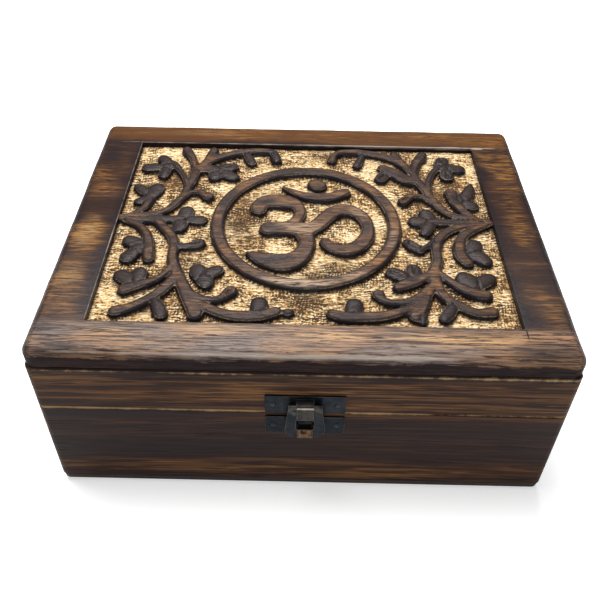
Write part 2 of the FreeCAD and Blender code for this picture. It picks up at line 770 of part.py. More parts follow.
def build():
    """All nodes, keyed by name."""
    nodes = {}
    brads = [brad(place) for place in brad_places()]
    hinges = hinge_centres()
    screws = {
        side: [screw(place, along_z * -side) for x in hinges.values() for place in hinge_screw_places(x)]
        for side in (-1, 1)
    }
    upper_nails = [nail(place) for place in latch_nail_places(upper_plate_rise)]
    lower_nails = [nail(place) for place in latch_nail_places(-lower_plate_drop - plate_height)]
    seats = [hinge_seat(x) for x in hinges.values()]

    base = wall_ring(bottom_thickness, seam_height, foot_arris, seam_arris)
    base = base.cut(seats + screws[-1] + lower_nails + brads)
    lid = wall_ring(seam_height, rim_top, seam_arris, foot_arris)
    lid = lid.cut(seats + screws[1] + upper_nails)
    for side, wall in walls(base).items():
        nodes["base_" + side] = wall
    for side, wall in walls(lid).items():
        nodes["lid_rim_" + side] = wall

    bottom = rounded_slab(box_length - 2 * bottom_inset, box_depth - 2 * bottom_inset,
                          0, bottom_thickness, corner_radius)
    bottom = broken_arris(broken_arris(bottom, 0, bottom_arris), bottom_thickness, foot_arris)
    nodes["base_bottom"] = bottom.cut(brads)
    nodes["bottom_brads"] = Part.makeCompound(brads)
    nodes["lid_board"] = lid_board()

    for name, centre in hinges.items():
        nodes["hinge_" + name + "_base_leaf"] = hinge_leaf(centre, -1)
        nodes["hinge_" + name + "_lid_leaf"] = hinge_leaf(centre, 1)
        nodes["hinge_" + name + "_pin"] = hinge_pin(centre)
    nodes["hinge_base_screws"] = Part.makeCompound(screws[-1])
    nodes["hinge_lid_screws"] = Part.makeCompound(screws[1])

    nodes["latch_upper_plate"] = latch_upper_plate()
    nodes["latch_upper_nails"] = Part.makeCompound(upper_nails)
    nodes["latch_flap"] = latch_flap()
    nodes["latch_lower_plate"] = latch_lower_plate()
    nodes["latch_lower_nails"] = Part.makeCompound(lower_nails)
    nodes["latch_catch"] = latch_catch()
    return nodes


os.makedirs("parts", exist_ok=True)
for name, shape in build().items():
    shape.exportStep("parts/" + name + ".step")
    print(name, len(shape.Solids), round(shape.Volume, 1), shape.isValid())
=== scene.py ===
import functools
import math

import bmesh
import bpy
import numpy as np
from bpy.props import FloatProperty, FloatVectorProperty, PointerProperty
from mathutils import Matrix, Vector, noise


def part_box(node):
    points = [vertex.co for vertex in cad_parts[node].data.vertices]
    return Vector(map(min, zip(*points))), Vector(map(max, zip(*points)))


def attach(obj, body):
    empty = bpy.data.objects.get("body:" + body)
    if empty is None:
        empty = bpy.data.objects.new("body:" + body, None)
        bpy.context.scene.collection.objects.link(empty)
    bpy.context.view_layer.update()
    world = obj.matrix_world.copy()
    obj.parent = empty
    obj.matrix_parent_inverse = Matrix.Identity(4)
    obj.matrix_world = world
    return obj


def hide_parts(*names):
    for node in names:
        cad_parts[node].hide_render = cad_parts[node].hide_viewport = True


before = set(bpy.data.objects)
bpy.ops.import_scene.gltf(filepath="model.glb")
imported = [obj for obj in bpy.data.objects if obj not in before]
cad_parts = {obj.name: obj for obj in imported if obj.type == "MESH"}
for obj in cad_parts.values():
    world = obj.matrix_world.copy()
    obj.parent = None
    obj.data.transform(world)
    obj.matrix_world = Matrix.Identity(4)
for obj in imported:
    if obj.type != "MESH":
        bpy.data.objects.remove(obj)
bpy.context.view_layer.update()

bl_info = {
    "name": "Carved keepsake box",
    "version": (1, 0, 0),
    "blender": (4, 5, 0),
    "location": "View3D > Sidebar > Box",
    "description": "Burnt wooden box with a carved lid and a blackened latch",
    "category": "Object",
}

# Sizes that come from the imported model, in metres
MM = 0.001
BOARD_LOW, BOARD_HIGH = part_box("lid_board")
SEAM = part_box("base_front")[1].z
HALF_LENGTH = BOARD_HIGH.x
HALF_DEPTH = BOARD_HIGH.y
BOARD_TOP = BOARD_HIGH.z
WALL_HALF_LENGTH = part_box("base_right")[1].x
WALL_HALF_DEPTH = -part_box("base_front")[0].y

# Strokes of the carving as runs of (x, y, half width). The sign's are shares of the ring's outer
# radius, from the ring's centre; the vine's are shares of the field's half length for x and of its
# half breadth for y and width, from the field's centre.
SIGN_SHARES = [
    # upper lobe
    [(-.507, .193, .083), (-.50, .27, .093), (-.415, .34, .105), (-.28, .35, .107), (-.146, .315, .088),
     (-.073, .222, .068), (-.068, .112, .063), (-.11, .015, .063), (-.16, -.06, .073)],
    # middle arm
    [(-.39, -.122, .095), (-.244, -.107, .093), (-.11, -.112, .105), (0, -.132, .11)],
    # lower lobe
    [(-.024, -.168, .102), (.007, -.278, .088), (.012, -.35, .085), (-.03, -.498, .095),
     (-.122, -.605, .115), (-.227, -.64, .12), (-.34, -.62, .107), (-.45, -.58, .083), (-.576, -.517, .024)],
    # tail
    [(.012, -.127, .088), (.11, -.059, .09), (.195, .051, .09), (.288, .166, .093), (.402, .22, .093),
     (.524, .18, .083), (.617, .068, .073), (.651, -.083, .066), (.62, -.241, .078), (.524, -.383, .088),
     (.378, -.434, .08), (.256, -.385, .071), (.2, -.312, .056)],
    # crescent and dot
    [(-.249, .59, .02), (-.159, .532, .039), (-.061, .468, .056), (.061, .434, .066), (.195, .43, .068),
     (.317, .459, .071), (.422, .524, .068)],
    [(.107, .666, .095), (.132, .646, .095)],
]
VINE_SHARES = [
    # left side, upper: stem, drop, trefoils, leaf, cluster and arch
    [(-.99, .03, .030), (-.87, .055, .034), (-.79, .09, .030), (-.73, .17, .030), (-.69, .28, .030),
     (-.67, .40, .032), (-.65, .52, .036), (-.645, .63, .036)],
    [(-.655, .68, .024), (-.675, .79, .030), (-.71, .88, .040), (-.725, .925, .036)],
    [(-.675, .43, .026), (-.695, .52, .022), (-.715, .58, .022), (-.74, .64, .026), (-.765, .69, .030),
     (-.785, .725, .030)],
    [(-.855, .80, .036), (-.815, .73, .042)],
    [(-.935, .665, .040), (-.85, .665, .036)],
    [(-.825, .56, .035), (-.815, .65, .038)],
    [(-.82, .68, .045), (-.79, .70, .045)],
    [(-.955, .41, .025), (-.90, .345, .045)],
    [(-.84, .40, .048), (-.86, .30, .050)],
    [(-.925, .225, .034), (-.875, .245, .040)],
    [(-.87, .25, .040), (-.875, .165, .030), (-.905, .105, .026), (-.96, .05, .022)],
    [(-.73, .19, .026), (-.68, .29, .026), (-.64, .345, .024), (-.59, .345, .028), (-.545, .295, .044)],
    [(-.645, .125, .046), (-.655, .05, .045)],
    [(-.555, .015, .038), (-.62, .02, .036)],
    [(-.665, -.075, .044), (-.67, 0, .045)],
    [(-.96, .02, .035), (-.80, .02, .035), (-.66, .025, .035)],
    [(-.65, .64, .040), (-.58, .66, .048), (-.50, .63, .060)],
    [(-.43, .695, .042), (-.49, .67, .050)],
    [(-.412, .55, .036), (-.48, .60, .050)],
    [(-.53, .545, .040), (-.52, .61, .050)],
    [(-.63, .67, .032), (-.59, .76, .036), (-.57, .85, .042), (-.56, .925, .034)],
    [(-.60, .72, .035), (-.55, .80, .042), (-.46, .865, .038), (-.37, .91, .034), (-.29, .925, .034),
     (-.21, .915, .030), (-.195, .875, .030)],
    [(-.36, .87, .028), (-.323, .755, .036)],
    [(-.20, .91, .026), (-.178, .80, .037)],
    # left side, lower: stems, lobes, cluster, fork, branches, club and curl
    [(-.96, .02, .030), (-.81, .005, .034), (-.755, -.065, .036), (-.71, -.14, .036), (-.68, -.225, .036),
     (-.673, -.31, .036), (-.67, -.39, .036), (-.655, -.465, .038), (-.63, -.55, .042)],
    [(-.95, -.01, .026), (-.885, -.055, .030), (-.84, -.13, .032), (-.815, -.21, .036), (-.80, -.32, .042),
     (-.787, -.41, .037)],
    [(-.915, -.22, .042), (-.85, -.26, .045)],
    [(-.90, -.405, .046), (-.865, -.345, .040)],
    [(-.855, -.285, .050), (-.835, -.295, .050)],
    [(-.66, -.275, .028), (-.60, -.27, .032), (-.548, -.24, .044)],
    [(-.534, -.50, .046), (-.515, -.57, .050)],
    [(-.43, -.507, .040), (-.48, -.555, .042)],
    [(-.476, -.645, .040), (-.50, -.58, .052)],
    [(-.665, -.49, .030), (-.70, -.575, .028), (-.75, -.635, .032), (-.81, -.67, .040), (-.865, -.71, .044)],
    [(-.904, -.57, .044), (-.85, -.635, .042)],
    [(-.812, -.54, .043), (-.815, -.63, .042)],
    [(-.635, -.58, .040), (-.66, -.66, .040), (-.70, -.74, .040), (-.755, -.81, .036), (-.815, -.87, .036),
     (-.88, -.905, .042)],
    [(-.70, -.82, .034), (-.677, -.885, .044), (-.663, -.925, .040)],
    [(-.62, -.58, .040), (-.58, -.69, .046), (-.55, -.78, .050), (-.52, -.87, .048), (-.507, -.915, .050)],
    [(-.55, -.745, .036), (-.50, -.775, .030), (-.45, -.79, .026), (-.40, -.775, .028), (-.357, -.71, .046)],
    [(-.53, -.80, .036), (-.46, -.86, .036), (-.38, -.91, .040), (-.30, -.928, .044), (-.21, -.92, .044),
     (-.135, -.885, .040)],
    [(-.214, -.80, .045), (-.214, -.88, .042)],
    [(-.085, -.89, .026), (-.065, -.885, .022)],
    # right side, upper
    [(.985, .045, .030), (.90, .075, .034), (.81, .115, .032), (.755, .175, .032), (.715, .27, .034),
     (.69, .35, .034), (.67, .43, .036), (.65, .50, .036), (.63, .58, .036), (.618, .66, .034)],
    [(.625, .67, .028), (.637, .735, .034), (.653, .805, .038), (.68, .87, .044), (.695, .915, .038)],
    [(.61, .66, .030), (.585, .73, .034), (.557, .78, .038), (.535, .855, .044), (.523, .92, .028)],
    [(.69, .43, .028), (.697, .53, .028), (.71, .585, .027), (.728, .645, .027), (.752, .70, .028),
     (.785, .75, .032)],
    [(.809, .84, .046), (.79, .755, .045)],
    [(.90, .722, .045), (.835, .735, .040)],
    [(.815, .61, .044), (.815, .665, .044)],
    [(.79, .735, .045), (.815, .73, .045)],
    [(.90, .108, .028), (.86, .175, .034), (.835, .25, .042), (.82, .33, .046), (.815, .405, .048)],
    [(.937, .51, .016), (.92, .43, .045), (.885, .335, .055)],
    [(.925, .235, .036), (.875, .28, .046)],
    [(.845, .31, .060), (.865, .31, .060)],
    [(.735, .21, .026), (.69, .285, .026), (.645, .345, .024), (.59, .345, .030), (.54, .285, .043)],
    [(.645, .155, .038), (.67, .09, .048)],
    [(.58, .05, .044), (.645, .05, .044)],
    [(.63, -.075, .036), (.66, .01, .045)],
    [(.66, .045, .040), (.78, .045, .034), (.95, .045, .034)],
    [(.425, .565, .040), (.455, .635, .040)],
    [(.45, .71, .046), (.50, .65, .055), (.56, .58, .055), (.62, .54, .040)],
    [(.56, .79, .036), (.50, .855, .040), (.43, .895, .040), (.35, .925, .036), (.27, .935, .034),
     (.20, .925, .030), (.165, .88, .030), (.148, .81, .037)],
    [(.328, .88, .026), (.315, .82, .032), (.298, .75, .034)],
    # right side, lower
    [(.96, .03, .030), (.84, 0, .034), (.755, -.055, .036), (.707, -.12, .037), (.678, -.20, .037),
     (.668, -.29, .037), (.665, -.38, .037), (.645, -.455, .040), (.637, -.54, .045), (.637, -.61, .045)],
    [(.95, .015, .030), (.885, -.04, .034), (.825, -.11, .038), (.795, -.21, .042), (.79, -.32, .045),
     (.815, -.39, .042)],
    [(.875, -.19, .046), (.862, -.27, .050)],
    [(.912, -.375, .042), (.865, -.29, .050)],
    [(.528, -.19, .034), (.552, -.227, .044), (.585, -.265, .038)],
    [(.59, -.262, .020), (.63, -.225, .022), (.67, -.17, .028)],
    [(.43, -.497, .042), (.485, -.545, .042)],
    [(.537, -.46, .045), (.537, -.545, .045)],
    [(.453, -.64, .038), (.53, -.585, .048), (.59, -.54, .034), (.637, -.49, .036)],
    [(.65, -.48, .032), (.70, -.56, .030), (.76, -.64, .034), (.825, -.69, .042), (.868, -.70, .042)],
    [(.775, -.53, .045), (.83, -.60, .058)],
    [(.91, -.535, .040), (.845, -.60, .050)],
    [(.63, -.62, .040), (.59, -.68, .040), (.545, -.74, .040), (.483, -.775, .032), (.41, -.78, .026),
     (.367, -.755, .030), (.352, -.715, .044)],
    [(.585, -.69, .040), (.56, -.77, .050), (.535, -.85, .050), (.518, -.90, .048)],
    [(.545, -.90, .030), (.545, -.955, .020)],
    [(.54, -.81, .036), (.455, -.86, .034), (.37, -.90, .040), (.275, -.915, .042), (.18, -.915, .042),
     (.13, -.893, .038)],
    [(.236, -.795, .044), (.229, -.88, .042)],
    [(.637, -.61, .040), (.652, -.67, .036), (.68, -.745, .036), (.738, -.81, .036), (.807, -.86, .036),
     (.875, -.85, .045)],
    [(.70, -.80, .034), (.675, -.865, .044), (.65, -.912, .036)],
]
# Spoon cuts down the middle of some lobes, written as the vine is
GOUGE_SHARES = [
    [(.42, .56, .012), (.452, .62, .008)],
    [(.815, .60, .012), (.815, .65, .008)],
    [(.535, -.205, .012), (.575, -.25, .008)],
    [(.425, -.50, .012), (.47, -.535, .008)],
    [(.537, -.455, .010), (.537, -.51, .008)],
    [(.80, .84, .010), (.80, .80, .008)],
    [(.535, .28, .012), (.57, .325, .008)],
    [(-.55, -.24, .010), (-.58, -.255, .008)],
    [(-.36, -.71, .010), (-.37, -.74, .008)],
    [(-.55, .295, .012), (-.58, .33, .008)],
    [(-.43, .69, .010), (-.47, .675, .008)],
]
# Soot on the carved ground: (x, y, reach) in shares of the field's half breadth, and strength
SOOT_SPOT_SHARES = [
    (-.50, -.05, .16, .8), (.05, -.60, .10, .9), (.22, -.52, .14, .9), (-.22, .30, .16, .3),
    (0, -.78, .10, .8), (-.45, .25, .12, .35), (.45, .10, .10, .3), (.10, .92, .12, .5),
    (-.80, -.42, .14, .55), (.95, -.62, .12, .45), (-1.02, -.83, .12, .6), (.30, -.80, .12, .3),
]
# Soft places on the lid's margins: (x, y, reach in x, reach in y, strength), in millimetres
WARM_PLACES = [
    (-10, 68, 90, 12, .6), (-92, -12, 9, 20, .8), (-93, -38, 10, 16, .7), (-93, 22, 9, 16, .4),
    (93, 48, 12, 26, 1.6), (93, -52, 14, 18, .6), (92, 2, 9, 28, .9), (0, -68, 120, 12, .6),
]
GILT_PLACES = [
    (55, -67, 40, 4.5, .9), (-30, -64, 30, 4, .5), (10, -66, 26, 3.5, .6), (-92, -10, 7, 14, .55),
    (-93, -36, 8, 10, .4), (-72, -66, 18, 4, .4), (-50, 68, 26, 4, .25),
]
BURNT_PLACES = [
    (-94, 50, 9, 20, .75), (-96, -64, 10, 6, .45), (86, -8, 4, 22, .30), (97, -36, 6, 24, .6),
    (-99, 10, 4, 40, .45), (88, -72, 26, 6, .75), (-86, -74, 24, 6, .6), (-12, -62, 16, 2, .3),
]
# A chisel's slip at the field's back right corner, and a painted highlight along the back lip
CHIP_AND_HIGHLIGHT_PLACES = [
    (83.5, 58.4, 5.5, 1.5, 1.2), (70, 59, 12, 1, .9),
]
# The same on the relief's tops
FORK_PLACES = [
    (-50, 40, 9, 13, 1), (50, 39, 9, 13, 1), (-51, -34, 9, 13, 1), (52, -36, 9, 13, 1), (-76, 1, 10, 4, .8),
    (77, 1, 10, 4, .8), (-38, -51, 16, 4, .9), (36, -52, 16, 4, .9),
]
SMOKED_PLACES = [
    (-13, -25, 17, 5, 1), (-17, 13, 10, 5, .9), (26, -4, 4, 12, .8), (6, 26, 6, 4, .6), (-16, -5, 8, 3, .6),
    (33, 12, 8, 18, .5), (-36, -12, 5, 14, .6), (-10, 36, 30, 6, .9), (-35, 14, 7, 20, .8),
    (-16, -27, 22, 8, .8),
]
# Rubbed places, some of which paint the sheen of the light on the relief, as on the ring's front
RUBBED_AND_SHEEN_PLACES = [
    (-1, -5, 15, 7, .8), (-4, -38.6, 32, 6, 1.2), (20, -34, 14, 5, .6), (24, 6, 8, 8, .5),
    (36, -10, 5, 12, .5),
]
# The same on the carved ground
DULL_PLACES = [
    (-27, 8, 10, 20, 1), (-24, -12, 10, 12, .6), (-58, 30, 20, 18, 1.2), (60, 22, 22, 24, 1.15),
    (-44, -46, 20, 8, .6), (60, -44, 14, 10, .5), (5, -47, 26, 6, .8), (0, 50, 40, 6, .4),
    (-70, -36, 8, 16, .5),
]
PALE_PLACES = [
    (17, -6, 8, 7, 1), (-6, 4, 7, 5, .6), (-58, -4, 10, 10, .4), (2, 24, 12, 4, .5), (30, 20, 6, 8, .5),
]
# Cells of the carving along its length and across its breadth, and the values kept at its points
CELLS = (362, 266)
# The soot layer holds soot spots and painted shade at the relief's foot and the field's edge
LAYERS = ("rise", "inward", "crown", "groove", "soot", "toast", "burn")
# Shares of the relief's rise: the steep wall, the rounded shoulder and the dome
WALL_SHARE, SHOULDER_SHARE, DOME_SHARE = 0.74, 0.04, 0.22
# Points closer than this count as one, in metres
TOUCH = 1e-6


class BoxSizes(bpy.types.PropertyGroup):
    """Sizes of the lid board, its carving and the metal's edges."""
    field_length: FloatProperty(name="Field length", description="Sunk field, left to right",
                                default=162 * MM, unit="LENGTH")
    field_breadth: FloatProperty(name="Field breadth", description="Sunk field, front to back",
                                 default=119 * MM, unit="LENGTH")
    field_recess: FloatProperty(name="Field recess", description="Depth of the carved ground",
                                default=2.8 * MM, unit="LENGTH")
    field_shift: FloatProperty(name="Field shift", description="Field's centre towards the back",
                               default=-1 * MM, unit="LENGTH")
    ring_radius: FloatProperty(name="Ring radius", description="Outer radius of the carved ring",
                               default=41 * MM, unit="LENGTH")
    ring_band: FloatProperty(name="Ring band", description="Width of the carved ring",
                             default=5.6 * MM, unit="LENGTH")
    ring_shift: FloatProperty(name="Ring shift", description="Ring's centre towards the back",
                              default=-0.6 * MM, unit="LENGTH")
    slab: FloatProperty(name="Slab", description="Wood kept under the carved ground",
                        default=1.6 * MM, unit="LENGTH")
    shoulder: FloatProperty(name="Shoulder", description="How far the carved edges are rounded over",
                            default=0.7 * MM, unit="LENGTH")
    board_corner: FloatProperty(name="Board corner", description="Radius of the board's upright corners",
                                default=4.5 * MM, unit="LENGTH")
    board_round: FloatProperty(name="Board round", description="Radius of the board's top edge",
                               default=4 * MM, unit="LENGTH")
    board_under: FloatProperty(name="Board under", description="Bevel of the board's lower edge",
                               default=1.5 * MM, unit="LENGTH")
    metal_edge: FloatProperty(name="Metal edge", description="Rounding of the sheet metal's edges",
                              default=0.14 * MM, unit="LENGTH")


class BoxColours(bpy.types.PropertyGroup):
    """Colours of the finishes."""
    brown: FloatVectorProperty(name="Brown", description="Body of the lid board's burnt wood",
                               subtype="COLOR", default=(0.092, 0.046, 0.024))
    wall: FloatVectorProperty(name="Wall", description="Body of the walls' burnt wood",
                              subtype="COLOR", default=(0.118, 0.045, 0.015))
    relief: FloatVectorProperty(name="Relief", description="Body of the relief's burnt wood",
                                subtype="COLOR", default=(0.165, 0.086, 0.047))
    amber: FloatVectorProperty(name="Amber", description="Golden streaks left by the flame",
                               subtype="COLOR", default=(0.26, 0.120, 0.034))
    wall_amber: FloatVectorProperty(name="Wall amber", description="Golden streaks of the walls",
                                    subtype="COLOR", default=(0.25, 0.118, 0.036))
    dark: FloatVectorProperty(name="Dark", description="Dark streaks of the grain",
                              subtype="COLOR", default=(0.032, 0.017, 0.013))
    wall_dark: FloatVectorProperty(name="Wall dark", description="Dark streaks of the walls",
                                   subtype="COLOR", default=(0.021, 0.011, 0.009))
    scorch: FloatVectorProperty(name="Scorch", description="Blue-black burnt places",
                                subtype="COLOR", default=(0.016, 0.012, 0.014))
    # The front margin's blush and ash are partly painted sheen
    blush_and_sheen: FloatVectorProperty(name="Blush", description="Pale wood of the front margin",
                               subtype="COLOR", default=(0.31, 0.175, 0.095))
    ash_and_sheen: FloatVectorProperty(name="Ash", description="Greyed wood of the front margin",
                             subtype="COLOR", default=(0.20, 0.15, 0.125))
    thread: FloatVectorProperty(name="Thread", description="Fine dark lines of the front margin",
                                subtype="COLOR", default=(0.034, 0.020, 0.016))
    russet: FloatVectorProperty(name="Russet", description="Tint of the back margin",
                                subtype="COLOR", default=(0.140, 0.058, 0.018))
    gilt: FloatVectorProperty(name="Gilt", description="Golden places on the margins",
                              subtype="COLOR", default=(0.46, 0.27, 0.115))
    # Also the colour of painted highlights on the board's round-overs and lips
    silver_wear_and_highlight: FloatVectorProperty(name="Silver", description="Rubbed edges of the lid board",
                                subtype="COLOR", default=(0.42, 0.36, 0.31))
    tan: FloatVectorProperty(name="Tan", description="Rubbed edges of the walls",
                             subtype="COLOR", default=(0.46, 0.29, 0.14))
    bare_dark: FloatVectorProperty(name="Bare dark", description="Lines of the unburnt wood inside",
                                   subtype="COLOR", default=(0.30, 0.17, 0.075))
    bare_pale: FloatVectorProperty(name="Bare pale", description="Unburnt wood inside",
                                   subtype="COLOR", default=(0.47, 0.30, 0.15))
    cream: FloatVectorProperty(name="Cream", description="Pale ridges of the carved ground",
                               subtype="COLOR", default=(0.80, 0.66, 0.43))
    gold: FloatVectorProperty(name="Gold", description="Bare wood of the carved ground",
                              subtype="COLOR", default=(0.58, 0.37, 0.15))
    toast: FloatVectorProperty(name="Toast", description="Ground browned beside the relief",
                               subtype="COLOR", default=(0.25, 0.130, 0.050))
    pit: FloatVectorProperty(name="Pit", description="Tool marks in the carved ground",
                             subtype="COLOR", default=(0.055, 0.030, 0.016))
    # Also the colour of painted shade at the relief's foot and along the field's edge
    soot: FloatVectorProperty(name="Soot", description="Soot on the carved ground",
                              subtype="COLOR", default=(0.030, 0.022, 0.017))
    plum: FloatVectorProperty(name="Plum", description="Smoked tops of stems and leaves",
                              subtype="COLOR", default=(0.024, 0.017, 0.016))
    # Also paints the shade on the relief's walls
    char: FloatVectorProperty(name="Char", description="Charred walls of the relief",
                              subtype="COLOR", default=(0.012, 0.009, 0.010))
    arris: FloatVectorProperty(name="Arris", description="Worn edges of the relief",
                               subtype="COLOR", default=(0.26, 0.19, 0.125))
    # Also painted sheen on the relief's tops, as on the ring's front
    handled_and_sheen: FloatVectorProperty(name="Handled", description="Relief rubbed pale by hands",
                                 subtype="COLOR", default=(0.34, 0.235, 0.15))
    slate: FloatVectorProperty(name="Slate", description="Blackened strap, flap and hinges",
                               subtype="COLOR", default=(0.010, 0.013, 0.017))
    plate: FloatVectorProperty(name="Plate", description="Blackened lower plate of the latch",
                               subtype="COLOR", default=(0.006, 0.009, 0.013))
    nail: FloatVectorProperty(name="Nail", description="Heads of the latch's nails",
                              subtype="COLOR", default=(0.030, 0.036, 0.042))
    catch: FloatVectorProperty(name="Catch", description="Steel of the catch",
                               subtype="COLOR", default=(0.02, 0.02, 0.02))
    steel: FloatVectorProperty(name="Steel", description="Pins, screws and brads",
                               subtype="COLOR", default=(0.22, 0.21, 0.20))
    glint: FloatVectorProperty(name="Glint", description="Rubbed steel",
                               subtype="COLOR", default=(0.45, 0.44, 0.42))
    bronze: FloatVectorProperty(name="Bronze", description="Metal where the blackening is rubbed off",
                                subtype="COLOR", default=(0.30, 0.27, 0.22))
    copper: FloatVectorProperty(name="Copper", description="Rubbed finger lip of the flap",
                                subtype="COLOR", default=(0.17, 0.085, 0.034))
    rust: FloatVectorProperty(name="Rust", description="Browned patches of the metal",
                              subtype="COLOR", default=(0.030, 0.026, 0.021))
    dust: FloatVectorProperty(name="Dust", description="Brown dust on the strap",
                              subtype="COLOR", default=(0.075, 0.058, 0.043))
    ear: FloatVectorProperty(name="Ear", description="Greyed ears of the flap",
                             subtype="COLOR", default=(0.085, 0.080, 0.070))
    floor: FloatVectorProperty(name="Floor", description="Pale studio floor",
                               subtype="COLOR", default=(0.93, 0.93, 0.93))


def sizes():
    """Sizes as they stand in the scene."""
    return bpy.context.scene.box_sizes


def colour(name):
    """One colour of the scene's settings, with full alpha."""
    return (*getattr(bpy.context.scene.box_colours, name), 1)


# Node trees

class Signal:
    """One output of a node, which can be reckoned with like a number."""

    def __init__(self, tree, socket):
        self.tree, self.socket = tree, socket

    def maths(self, operation, other=0.0, clamp=False):
        """Result of one sum with another signal or number."""
        return add(self.tree, "ShaderNodeMath", {0: self, 1: other}, operation=operation, use_clamp=clamp)[0]

    def __add__(self, other):
        return self.maths("ADD", other)

    def __sub__(self, other):
        return self.maths("SUBTRACT", other)

    def __rsub__(self, other):
        return self * -1.0 + other

    def __mul__(self, other):
        return self.maths("MULTIPLY", other)

    def __abs__(self):
        return self.maths("ABSOLUTE")


class Outlets:
    """Outputs of a node as signals, by name or by place."""

    def __init__(self, tree, sockets):
        self.tree, self.sockets = tree, sockets

    def __getitem__(self, key):
        return Signal(self.tree, self.sockets[key])


def put(socket, value):
    """Links a signal to a socket, or sets it to a named colour or a plain value."""
    if isinstance(value, Signal):
        value.tree.links.new(value.socket, socket)
    else:
        socket.default_value = colour(value) if isinstance(value, str) else value


def put_all(sockets, values):
    """Sets or links several sockets of a node."""
    for key, value in values.items():
        put(sockets[key], value)


def add(tree, kind, inputs=None, **settings):
    """Adds a node, sets or links its inputs and hands back its outputs."""
    node = tree.nodes.new(kind)
    for key, value in settings.items():
        setattr(node, key, value)
    put_all(node.inputs, inputs or {})
    return Outlets(tree, node.outputs)


def most(*signals):
    """Strongest of several signals."""
    return functools.reduce(lambda first, second: first.maths("MAXIMUM", second), signals)


def ramp(value, low, high, to_low=0.0, to_high=1.0, kind="SMOOTHSTEP"):
    """Step of a signal from one range to another."""
    return add(value.tree, "ShaderNodeMapRange", {
        "Value": value, "From Min": low, "From Max": high, "To Min": to_low, "To Max": to_high,
    }, interpolation_type=kind)["Result"]


def near(value, target, reach):
    """Mask that is 1 where a signal meets its target and fades out within the reach."""
    return ramp(abs(value - target), 0.0, reach, 1.0, 0.0, "LINEAR")


def blend(factor, first, second):
    """Mix of two colours."""
    return add(factor.tree, "ShaderNodeMix", {0: factor, 6: first, 7: second}, data_type="RGBA")[2]


def vectors(operation, first, second):
    """Result of one sum of vectors."""
    return add(first.tree, "ShaderNodeVectorMath", {0: first, 1: second}, operation=operation)[0]


def stretched(place, scale, location=(0, 0, 0), turn=0.0):
    """Coordinates turned about Z and drawn out along the grain."""
    return add(place.tree, "ShaderNodeMapping", {
        "Vector": place, "Scale": scale, "Location": location, "Rotation": (0, 0, turn)})[0]


def clouds(place, scale, location=(0, 0, 0), detail=3.0, roughness=0.55, warp=0.0):
    """Noise on coordinates that a scale draws out."""
    return add(place.tree, "ShaderNodeTexNoise", {
        "Vector": stretched(place, scale, location), "Scale": 1.0, "Detail": detail,
        "Roughness": roughness, "Distortion": warp,
    })["Fac"]


def axes(place):
    """X, Y and Z of coordinates."""
    parts = add(place.tree, "ShaderNodeSeparateXYZ", {0: place})
    return [parts[axis] for axis in "XYZ"]


def attribute(place, name):
    """Value that the mesh carries."""
    return add(place.tree, "ShaderNodeAttribute", attribute_name=name)["Fac"]


def bumped(height, strength, distance):
    """Normal with fine relief."""
    return add(height.tree, "ShaderNodeBump", {
        "Height": height, "Strength": strength, "Distance": distance})["Normal"]


def new_group(name, inputs, output_kinds):
    """Empty shader group: its tree, what it is given and the sockets for its results."""
    input_kinds = {str: "NodeSocketColor", float: "NodeSocketFloat", type(None): "NodeSocketVector"}
    tree = bpy.data.node_groups.new(name, "ShaderNodeTree")
    for title, default in inputs.items():
        socket = tree.interface.new_socket(title, in_out="INPUT", socket_type=input_kinds[type(default)])
        if default is not None:
            put(socket, default)
    for title, kind in output_kinds.items():
        tree.interface.new_socket(title, in_out="OUTPUT", socket_type=kind)
    return tree, add(tree, "NodeGroupInput"), tree.nodes.new("NodeGroupOutput").inputs


def grain_group():
    """Burnt grain that runs along X: its colour and the height of its fibres."""
    tree, given, result = new_group("Burnt grain", {
        "Vector": None, "Brown": "brown", "Amber": "amber", "Dark": "dark", "Scorch": "scorch",
        "Amber share": 0.5, "Scorch share": 0.5, "Warm": 0.0,
    }, {"Color": "NodeSocketColor", "Height": "NodeSocketFloat"})
    place = given["Vector"]
    sway = clouds(place, (11, 26, 26), detail=1.5) * 0.013
    bend = vectors("ADD", place, add(tree, "ShaderNodeCombineXYZ", {"Y": sway, "Z": sway})[0])
    bands = clouds(bend, (5, 105, 105), roughness=0.6)
    streaks = clouds(bend, (26, 430, 430), detail=4.0, roughness=0.65)
    ripple = clouds(bend, (150, 1050, 1050), (.3, .7, .1), roughness=0.6)
    fibres = clouds(bend, (95, 2100, 2100), roughness=0.7)
    pores = clouds(bend, (170, 1350, 1350), detail=1.0)
    patches = clouds(place, (20, 34, 34), detail=2.0, warp=0.4)
    burns = clouds(bend, (8, 52, 52), (3.1, 1.7, 5.3), detail=2.5, roughness=0.6)

    body = blend(ramp(bands, 0.40, 0.58), given["Dark"], given["Brown"])
    lit = ramp(patches + given["Warm"] * 0.35, 0.46, 0.74) * ramp(ripple, 0.42, 0.57, 0.1, 1.0)
    lit = lit + ramp(bands, 0.52, 0.66) * ramp(streaks, 0.46, 0.62)
    body = blend(lit.maths("MULTIPLY", given["Amber share"], clamp=True), body, given["Amber"])
    body = blend(ramp(streaks, 0.54, 0.40, 0.0, 0.6), body, given["Dark"])
    body = blend(ramp(ripple, 0.53, 0.41, 0.0, 0.75), body, given["Dark"])
    threshold = 0.80 - given["Scorch share"] * 0.5 + given["Warm"] * 0.2
    scorched = ramp(burns + (streaks - 0.5) * 0.22 - threshold, -0.10, 0.10)
    body = blend(scorched * 0.92, body, given["Scorch"])
    body = blend(ramp(fibres, 0.38, 0.62, 0.62, 0.0), body, given["Dark"])
    body = blend(ramp(pores, 0.64, 0.72, 0.0, 0.75), body, given["Scorch"])
    put(result["Color"], body)
    put(result["Height"], fibres * 0.62 - ramp(pores, 0.62, 0.72, 0.0, 0.6) + ripple * 0.65)
    return tree


